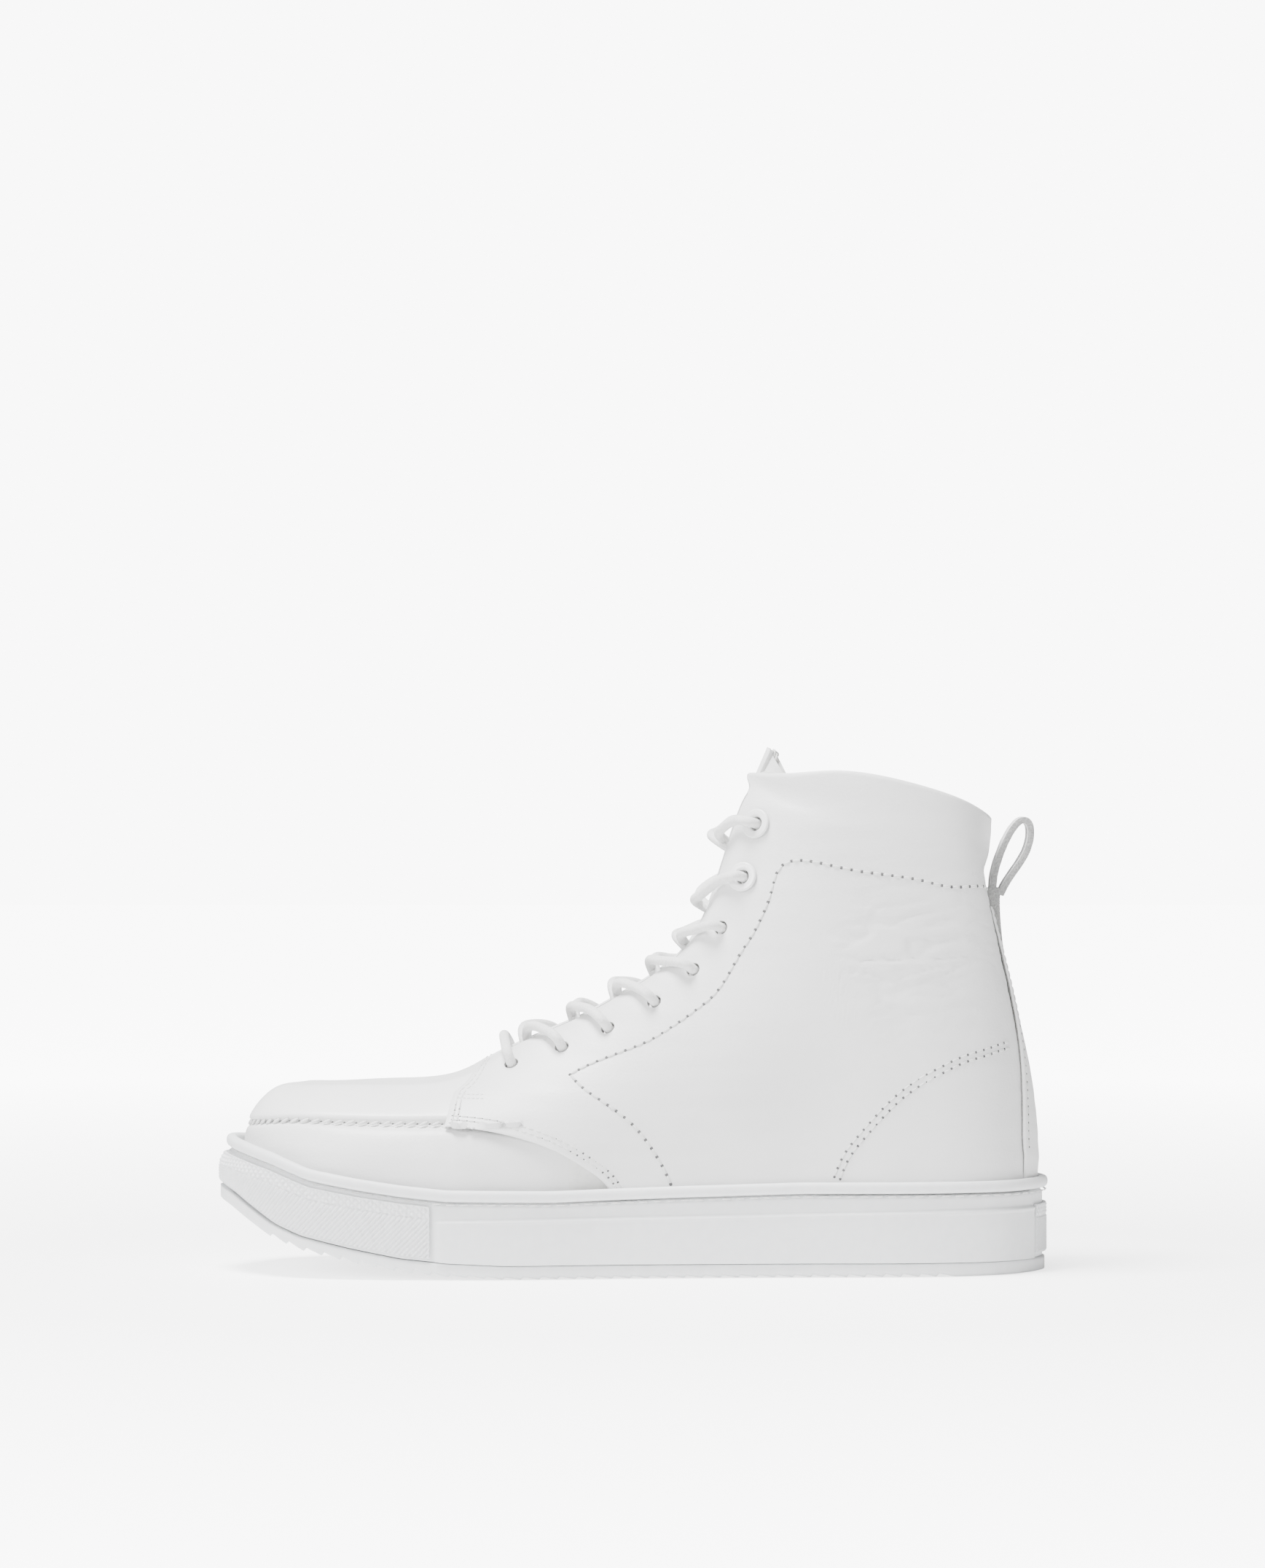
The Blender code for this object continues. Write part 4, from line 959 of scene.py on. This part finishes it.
plate("cup_outsole", lambda q: wall_out(q) - 0.8 * MM, tread, lambda x: ground(x) + OUTSOLE,
      0.32 * MM / DETAIL, (RUBBER,), ["outsole"])
plate("cup_core", lambda q: WALL_INSIDE - GAP + 0 * q, lambda x: ground(x) + OUTSOLE + 0.8 * MM,
      lambda x: feather_height(x) - 0.6 * MM, 2 * MM, (FOAM,), ["midsole"])
plate("insole_board", lambda q: -5.2 * MM + 0 * q, feather_height, lambda x: feather_height(x) + 1.6 * MM,
      2 * MM, (BOARD,), ["lasting_board"])
plate("insole_pad", lambda q: -5.8 * MM + 0 * q, lambda x: feather_height(x) + 2.0 * MM,
      lambda x: feather_height(x) + 6.0 * MM, 2 * MM, (LINING_SKIN,), ["footbed"])
print("sole made")

# %% [markdown]
# ## Eyelets
# The two top pairs of holes have metal eyelets: a barrel through the leather, rolled over into a flange
# and stove-enamelled white. The other holes are bare punched holes.

# %% Four eyelets
EYELET_RADIUS = 5.4 * MM


def eyelet(name, middle, axis, node):
    """A barrel and its rolled flange, spun round the Z axis and then turned to the hole's axis."""
    top, foot, roll, lip = LEATHER + GAP, -3.0 * MM, 0.9 * MM, 0.6 * MM
    profile = [(HOLE_RADIUS, foot), (HOLE_RADIUS, top - 0.1 * MM)]
    profile += [(HOLE_RADIUS + roll * (1 - math.cos(k)), top - 0.1 * MM + roll * math.sin(k))
                for k in np.linspace(0.2, math.pi / 2, 6)]
    profile += [(EYELET_RADIUS - lip + lip * math.sin(k), top + 0.2 * MM + lip * math.cos(k))
                for k in np.linspace(0, math.pi / 2, 6)]
    profile += [(EYELET_RADIUS, top), (HOLE_RADIUS + lip, top), (HOLE_RADIUS + lip, foot)]
    bm = bmesh.new()
    verts = [bm.verts.new((r, 0, z)) for r, z in profile]
    edges = [bm.edges.new((verts[i], verts[(i + 1) % len(verts)])) for i in range(len(verts))]
    bmesh.ops.spin(bm, geom=verts + edges, axis=(0, 0, 1), cent=(0, 0, 0), angle=2 * math.pi, steps=48,
                   use_merge=True)
    bmesh.ops.remove_doubles(bm, verts=bm.verts, dist=1e-7)
    bmesh.ops.recalc_face_normals(bm, faces=bm.faces)
    aim(bm, axis, middle, bm.verts)
    made = finished(bm, name, (ENAMEL,), "shoe", [node])
    made.data.set_sharp_from_angle(angle=math.radians(50))


for side_name, side in (("lateral", -1), ("medial", 1)):
    for row, label in ((6, "lower"), (7, "upper")):
        middle_at, axis_at = hole_frame(hole_places[row], side)
        eyelet(f"ring_{side_name}_{label}", middle_at, axis_at, f"eyelet_{side_name}_{label}")
print("eyelets made")

# %% [markdown]
# ## Tongue
# The tongue is sewn in under the apron and lies below the laces, then stands clear of the collar. Its
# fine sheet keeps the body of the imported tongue, so it tilts with the joint at its foot.

# %% Tongue and its lining
TONGUE_START, TONGUE_END = 4.1, 10.0
TONGUE_HALF = [(-62, 10), (-50, 11), (-20, 16), (10, 20), (29, 20), (35, 14), (40, 13)]
TONGUE_RISE = np.array([7.0, 0.0, 16.2])
TONGUE_LEVEL = -10.6 * MM
LINING_LEVEL = -3.0 * MM


def tongue_rows(level, along, across):
    """Points of the tongue: along runs up it and across from -1 to 1."""
    rows = np.zeros((along + 1, across + 1, 3))
    for i, u in enumerate(np.linspace(0, 1, along + 1)):
        on_shoe = min(u / 0.9, 1.0)
        s = TONGUE_START + (TONGUE_END - TONGUE_START) * on_shoe
        t = np.linspace(0.4, 1, 300)
        places = on_last(np.full_like(t, s), t)
        lift = max(0.0, (on_shoe - 0.965) / 0.035)
        lift = lift * lift * (3 - 2 * lift)
        raise_by = level + TONGUE_LEVEL + lift * (LINING_LEVEL - 4.2 * MM - TONGUE_LEVEL)
        stand = max(0.0, (u - 0.9) / 0.1)
        for j, v in enumerate(np.linspace(-1, 1, across + 1)):
            half = table(TONGUE_HALF, places[-1, 0] / MM) * MM * abs(v)
            reach = float(np.interp(-half, places[:, 1], t))
            turn = -1 if v > 0 else 1
            normal = outward(turn * s, reach)
            flat = math.exp(-((v / 0.16) ** 2))
            normal = normal * np.array([1, 1 - flat, 1])
            point = on_last(turn * s, reach) + normal / np.linalg.norm(normal) * raise_by
            flare = np.array([11.0 * abs(v) ** 1.8, -v * 4.0, 0]) * MM * stand
            rows[i, j] = point + TONGUE_RISE * MM * stand * (1 - 0.75 * v * v) + flare
    return rows


def tongue_sheet(name, level, thickness, skins, nodes):
    along, across = int(120 * DETAIL), int(48 * DETAIL)
    rows = tongue_rows(level, along, across)
    bm, verts = grid(along, across)
    for vert, u, v in verts:
        vert.co = rows[round(u * along), round(v * across)]
    made = finished(bm, name, skins, "tongue", nodes)
    give_thickness(made, thickness, 1.0)
    soften_edges(made, 0.25 * MM)


tongue_sheet("tongue_leather", 0.0, LEATHER, (LEATHER_SKIN, CUT_EDGE), ["tongue"])
tongue_sheet("tongue_inner", -1.8 * MM, 1.0 * MM, (LINING_SKIN, LINING_SKIN), ["tongue_lining"])
print("tongue made")

# %% [markdown]
# ## Lace
# One cord of plaited cotton is laced from the bar at the foot of the throat: down each hole, up from
# under the edge and over to the other side. It is a swept tube whose ribs of yarn are in the surface.

# %% Lace and aglets
LACE_RADIUS = 1.7 * MM
TIP_RADIUS, TIP_LENGTH = 1.6 * MM, 18 * MM
LACE_ABOVE = LEATHER + GAP + 0.8 * MM + GAP + LACE_RADIUS
LACE_BELOW = LINING_LEVEL - 0.8 * MM - LACE_RADIUS - GAP
TUCK = [(10.25, 0.62), (10.7, 0.52), (11.0, 0.42), (11.2, 0.33)]


def spot(side, s, t, level):
    """A point over the last at a level, on the lateral (-1) or medial (1) side."""
    s = s if side < 0 else ROUND - s
    return Vector(raised(s, t, level))


def strand(start):
    """Half of the lace, from the bar over the lowest holes to its end inside the collar."""
    points, side = [], start
    for row, (s, t) in enumerate(hole_places):
        top = throat_edge(s)
        middle, axis = hole_frame(hole_places[row], side)
        before = hole_places[max(row - 1, 0)][0]
        edge = spot(side, s - 0.22 * (s - before), top - 0.25 * (top - t), 0)
        inwards = edge - middle
        inwards = (inwards - axis * inwards.dot(axis)).normalized()
        points += [edge + axis * (LACE_ABOVE + 0.3 * MM)]
        points += [middle + inwards * across * MM + axis * level for across, level in (
            (2.8, LACE_ABOVE + 0.4 * MM), (0.4, LACE_ABOVE - 1.3 * MM), (0.0, 0.6 * MM),
            (0.0, LACE_BELOW + 2.6 * MM), (0.8, LACE_BELOW - 0.2 * MM))]
        if row + 1 == len(hole_places):
            break
        after = hole_places[row + 1][0]
        points.append(spot(side, s + 0.08, top - 0.4 * (top - t), LACE_BELOW - 0.5 * MM))
        points.append(spot(side, s + 0.2, top + 0.12 * (1 - top), LACE_BELOW - 0.2 * MM))
        over = 2.1 * MM if start < 0 else -2.1 * MM
        crossing = s + 0.36 * (after - s)
        normal = outward(crossing, 1.0) * np.array([1, 0, 1])
        level = (LACE_ABOVE + LACE_BELOW) / 2
        points.append(spot(side, crossing, 1.0, 0) + Vector(normal / np.linalg.norm(normal)) * (level + over))
        beyond = after - 0.45 * (after - s)
        reach = throat_edge(beyond)
        points.append(spot(-side, beyond, reach + 0.1 * (1 - reach), LACE_ABOVE + 0.3 * MM))
        side = -side
    return points + [spot(side, s, t, LACE_BELOW - 0.4 * MM) for s, t in TUCK]


def even_run(points, step):
    """A smooth line through the points, cut into even steps."""
    points = np.array([tuple(p) for p in points])
    fine = weights(np.linspace(0, len(points) - 1, 40 * len(points)), len(points), False) @ points
    run = run_along(fine)
    at = np.linspace(0, run[-1], max(3, round(run[-1] / step)))
    return np.column_stack([np.interp(at, run, fine[:, k]) for k in range(3)])


def frames(line):
    """Two directions across a line, turned as little as possible from step to step."""
    ahead = np.gradient(line, axis=0)
    ahead /= np.linalg.norm(ahead, axis=1, keepdims=True)
    side = np.cross(ahead[0], [0.0, 0.3, 1.0])
    sides = []
    for tangent in ahead:
        side = side - tangent * side.dot(tangent)
        side /= np.linalg.norm(side)
        sides.append(side)
    sides = np.array(sides)
    return sides, np.cross(ahead, sides)


first, second = strand(-1), strand(1)
bar = (first[0] + second[0]) / 2 + Vector((-0.35, 0, 0.94)) * 2.6 * MM
route = even_run(first[::-1] + [bar] + second, (0.45) * MM)
lace_length = float(np.linalg.norm(np.diff(route, axis=0), axis=1).sum())
side_way, up_way = frames(route)
AROUND = 24
turns = np.linspace(0, 2 * np.pi, AROUND, endpoint=False)
walk = run_along(route)
plait = np.maximum(np.abs(np.sin(turns[None, :] * 2 + walk[:, None] / (0.62 * MM))),
                   np.abs(np.sin(turns[None, :] * 2 - walk[:, None] / (0.62 * MM))))
radius = LACE_RADIUS * (1.06 - 0.13 * (1 - plait))
tube = route[:, None] + (np.cos(turns)[None, :, None] * side_way[:, None] +
                         np.sin(turns)[None, :, None] * up_way[:, None]) * radius[..., None]
COTTON = rough("plaited_cotton", (0.70, 0.70, 0.69), (0.86, 0.86, 0.855), 0.85, 1900.0, 0.7,
               Sheen_Weight=0.25)
swept("lace_cord", tube, False, (COTTON,), ["lace"])
for name, at, before in (("lateral", route[0], route[6]), ("medial", route[-1], route[-7])):
    axis = Vector(at - before).normalized()
    bm = bmesh.new()
    bmesh.ops.create_cone(bm, cap_ends=True, segments=24, radius1=TIP_RADIUS, radius2=TIP_RADIUS,
                          depth=TIP_LENGTH)
    bmesh.ops.bevel(bm, geom=[e for e in bm.edges if len(e.link_faces) == 2 and e.calc_face_angle(0) > 1.0],
                    offset=0.3 * MM, segments=3, affect="EDGES", profile=0.5, material=-1)
    aim(bm, axis, Vector(at) + axis * (TIP_LENGTH / 2 + GAP), bm.verts)
    finished(bm, "tip_" + name, (AGLET,), "shoe", ["aglet_" + name])
print("lace length:", round(lace_length / MM), "mm over", len(route), "steps")

# %% [markdown]
# ## Stitching
# Every seam is a row of lockstitches: short ellipses of thread that lie in the leather, between needle
# holes shown as flat dark spots of painted shade. A row is laid at even steps on a line drawn on the last,
# then joined into one object.

# %% Stitch helpers


def evenly(points, pitch):
    """(s, t) places one pitch apart on a line of (s, t) points."""
    dense = resample(points, 400)
    run = run_along(on_last(dense[:, 0], dense[:, 1]))
    at = np.linspace(0, run[-1], max(2, round(run[-1] / pitch) + 1))
    return np.column_stack([np.interp(at, run, dense[:, k]) for k in (0, 1)])


def ellipsoid(bm, centre, along, normal, length, width, height, material):
    """A low round lump, long in one direction."""
    side = np.cross(normal, along)
    side /= np.linalg.norm(side)
    turn = np.eye(4)
    turn[:3, 0], turn[:3, 1], turn[:3, 2] = along * length, side * width, np.cross(along, side) * height
    turn[:3, 3] = centre
    made = bmesh.ops.create_icosphere(bm, subdivisions=2, radius=0.5, matrix=Matrix(turn.tolist()))
    for face in {face for vert in made["verts"] for face in vert.link_faces}:
        face.material_index = material


def stitch_rows(name, rows, level, pitch, width, both_sides=True, lean=0.0, hole=1.3):
    """Rows of thread on lines of the last: each stitch, and a dark spot of painted shade for the needle hole
    between two stitches.
    """
    bm = bmesh.new()
    for line in rows:
        places = evenly(line, pitch)
        for turn in ((False, True) if both_sides else (False,)):
            s = ROUND - places[:, 0] if turn else places[:, 0]
            points = raised(s, places[:, 1], level)
            normals = outward(s, places[:, 1])
            for i in range(len(points) - 1):
                span = points[i + 1] - points[i]
                size = np.linalg.norm(span)
                along = span / size
                normal = normals[i] + normals[i + 1]
                normal = normal / np.linalg.norm(normal)
                along = along - normal * along.dot(normal)
                along /= np.linalg.norm(along)
                if lean:
                    side = np.cross(normal, along)
                    along = along * math.cos(lean) + side * math.sin(lean) * (-1 if turn else 1)
                ellipsoid(bm, (points[i] + points[i + 1]) / 2 + normal * width * 0.10, along, normal,
                          size * 0.82, width, width * 0.75, 0)
                # Painted shade: a flat dark spot at each stitch end stands in for the shadow in the needle
                # hole.
                ellipsoid(bm, points[i] - normal * 0.02 * MM, along, normal, width * hole,
                          width * hole * 0.9, width * 0.3, 1)
    made = finished(bm, name, (THREAD, NEEDLE_HOLE_SHADE), "shoe")
    print(name, len(made.data.polygons), "faces")


def beside(line, away):
    """A line of (s, t) points moved sideways on the last by a distance."""
    line = np.array(line, float)
    ahead = np.gradient(line, axis=0)
    here = on_last(line[:, 0], line[:, 1])
    tangent = on_last(line[:, 0] + ahead[:, 0] * 0.05, np.clip(line[:, 1] + ahead[:, 1] * 0.05, 0, 1)) - here
    normal = outward(line[:, 0], line[:, 1])
    side = np.cross(normal, tangent)
    side /= np.linalg.norm(side, axis=1, keepdims=True)
    by_s = (on_last(line[:, 0] + 0.01, line[:, 1]) - here) / 0.01
    by_t = (on_last(line[:, 0], np.clip(line[:, 1] + 0.001, 0, 1)) - here) / 0.001
    moved = []
    for place, way, a, b in zip(line, side * away, by_s, by_t):
        step = np.linalg.lstsq(np.column_stack([a, b]), way, rcond=1e-3)[0]
        moved.append(place + step)
    return np.array(moved)


# %% [markdown]
# ### The rows
# Two rows hold each quarter's front edge, one runs round the ankle panel, two shape the heel, one is on
# the backstay and a few short ones tack the lip. The apron is whipped with thick, slanted thread.

# %% Rows of stitches
front_line = resample(front, 60)
lip_rows = [beside(front_line, -d) for d in (2.4 * MM, 4.0 * MM)]
stitch_rows("front_stitching", lip_rows, LEATHER, 2.7 * MM, 0.75 * MM)
panel_line = locate([(13.4, 32.9), (9.5, 40.9), (3.6, 49.6), (-4.1, 57.2), (-15.7, 64.8), (-22, 70.5)])
panel_next = locate([(-22, 70.5), (-12, 75.4), (3.6, 81.6), (13.4, 87.1), (23, 93.8), (30.8, 100.8),
                     (37.8, 112.3), (42.8, 120.1), (48.5, 131.8), (51.4, 141.5), (53.4, 144.9),
                     (57.3, 147), (67.9, 146.2), (81.7, 143.3), (101.1, 140.5), (117, 137.7),
                     (125.5, 135.7)])
stitch_rows("panel_stitching", [panel_line, panel_next], LEATHER, 3.6 * MM, 1.05 * MM)
heel_line = np.array(resample(locate([(73.7, 34.5), (76.5, 41.2), (81.4, 47.9), (89.2, 56.7), (99, 65.5),
                                      (110.6, 72.2), (120.5, 76.4), (134, 80.0)]), 60))
stitch_rows("counter_stitching", [heel_line, beside(heel_line, 2.2 * MM)], LEATHER, 3.3 * MM, 0.85 * MM)
tack = [locate([(-62, 63.1), (-52.5, 63.1)]), locate([(-62, 61.8), (-52.5, 61.8)])]
stitch_rows("tack_stitching", tack, LEATHER, 1.6 * MM, 0.7 * MM)
stay_rows = [[(HEEL - stay_half(v) * 0.84, v) for v in np.linspace(0.09, 0.555, 20)]]
stitch_rows("backstay_stitching", stay_rows, STAY_LEVEL, 2.9 * MM, 0.75 * MM)
whip = [(q, float(seam_t(q)) - 0.008) for q in np.linspace(-4.36, 4.36, 60)]
stitch_rows("apron_stitching", [whip], -0.8 * MM, 4.4 * MM, 1.3 * MM, both_sides=False, lean=0.6, hole=0.7)

# %% [markdown]
# ### Thread below the bead
# The sole's own stitching lies in the groove under the bead, all round but for the toe and heel.

# %% Loops of thread in the groove below the bead
LOOP_PITCH = 4.9 * MM
bm = bmesh.new()
loop_s = np.linspace(0, ROUND, 1200, endpoint=False)
loop_s = loop_s[(from_toe(loop_s) > 0.2) & (from_heel(loop_s) > 0.3)]
loop_x = feather(loop_s, wall_out(loop_s))
loop_run = run_along(loop_x)
for at in np.arange(0, loop_run[-1], LOOP_PITCH):
    q = float(np.interp(at, loop_run, loop_s))
    x_here = float(feather(q, wall_out(q))[0])
    z_here = float(wall_top(x_here)) - BEAD_HEIGHT - 0.9 * MM
    stepped_back = (BUMPER + GAP) * (from_toe(q) < TOE_REACH)
    reach = float(wall_out(q) - stepped_back - lean(q, x_here, z_here)) - 0.55 * MM
    here, ahead_at = feather(q, reach), feather(q + 0.02, reach)
    way = np.array([*(ahead_at - here), 0.0])
    way /= np.linalg.norm(way)
    out_way = np.cross(way, [0.0, 0.0, 1.0])
    ellipsoid(bm, np.array([*here, z_here]), way, out_way, 3.4 * MM, 0.7 * MM, 0.7 * MM, 0)
welt = finished(bm, "welt_stitching", (THREAD, NEEDLE_HOLE_SHADE), "shoe")
print(welt.name, len(welt.data.polygons), "faces")

# %% [markdown]
# ## Light, floor and camera
# The shoe stands on a pale sweep, lit softly from all round with one brighter light from above. The floor
# and the world look brighter to the camera than they light the shoe, so that white leather keeps its
# shading against them.

# %% Studio
FLOOR_SIZE = 12.0
SKY_SEEN, SKY_LIGHT = 9.0, 0.5
FLOOR, tree, shader = principled("pale_floor", 0.8)
shader.inputs["Base Color"].default_value = (0.92, 0.92, 0.92, 1)
shader.inputs["Emission Color"].default_value = (1, 1, 1, 1)
seen = add(tree, "ShaderNodeLightPath")
glow = add(tree, "ShaderNodeMapRange")
glow.inputs["To Min"].default_value = 0.15
tree.links.new(seen.outputs["Is Camera Ray"], glow.inputs["Value"])
tree.links.new(glow.outputs["Result"], shader.inputs["Emission Strength"])
place = add(tree, "ShaderNodeTexCoord")
away = add(tree, "ShaderNodeVectorMath", operation="LENGTH")
tree.links.new(place.outputs["Object"], away.inputs[0])
fade = add(tree, "ShaderNodeMapRange")
fade.inputs["From Min"].default_value, fade.inputs["From Max"].default_value = 0.25, 1.3
fade.inputs["To Min"].default_value, fade.inputs["To Max"].default_value = 2.6, SKY_SEEN
tree.links.new(away.outputs["Value"], fade.inputs["Value"])
tree.links.new(fade.outputs["Result"], glow.inputs["To Max"])
bm, verts = grid(1, 1)
for vert, u, v in verts:
    vert.co = ((u - 0.5) * FLOOR_SIZE, (v - 0.5) * FLOOR_SIZE, -0.2 * MM)
linked_mesh(bm, "backdrop", [FLOOR])


def lamp(name, place, size, watts, at=(0, 0, 0.08)):
    data = bpy.data.lights.new(name, "AREA")
    data.shape = "SQUARE"
    data.size = size
    data.energy = watts
    made = linked(name, data)
    made.location = place
    made.rotation_euler = (Vector(at) - Vector(place)).to_track_quat("-Z", "Y").to_euler()


lamp("overhead", (-0.3, -0.2, 1.4), 0.6, 74)
lamp("front_left", (-1.2, -1.3, 0.8), 0.6, 26)
lamp("front_right", (1.3, -1.2, 0.5), 0.9, 4)
world = bpy.data.worlds.new("soft_white") if bpy.context.scene.world is None else bpy.context.scene.world
bpy.context.scene.world = world
world.use_nodes = True
sky = world.node_tree.nodes["Background"]
sky.inputs["Color"].default_value = (1, 1, 1, 1)
seen = add(world.node_tree, "ShaderNodeLightPath")
glow = add(world.node_tree, "ShaderNodeMapRange")
glow.inputs["To Min"].default_value = SKY_LIGHT
glow.inputs["To Max"].default_value = SKY_SEEN
world.node_tree.links.new(seen.outputs["Is Camera Ray"], glow.inputs["Value"])
world.node_tree.links.new(glow.outputs["Result"], sky.inputs["Strength"])
camera_data = bpy.data.cameras.new("camera")
camera_data.lens = 127
camera = linked("camera", camera_data)
camera.location = (0, -2.0, 0.1746)
camera.rotation_euler = (math.pi / 2, 0, 0)
bpy.context.scene.camera = camera
print("lamps:", len(bpy.data.lights), "camera lens:", camera_data.lens, "mm")
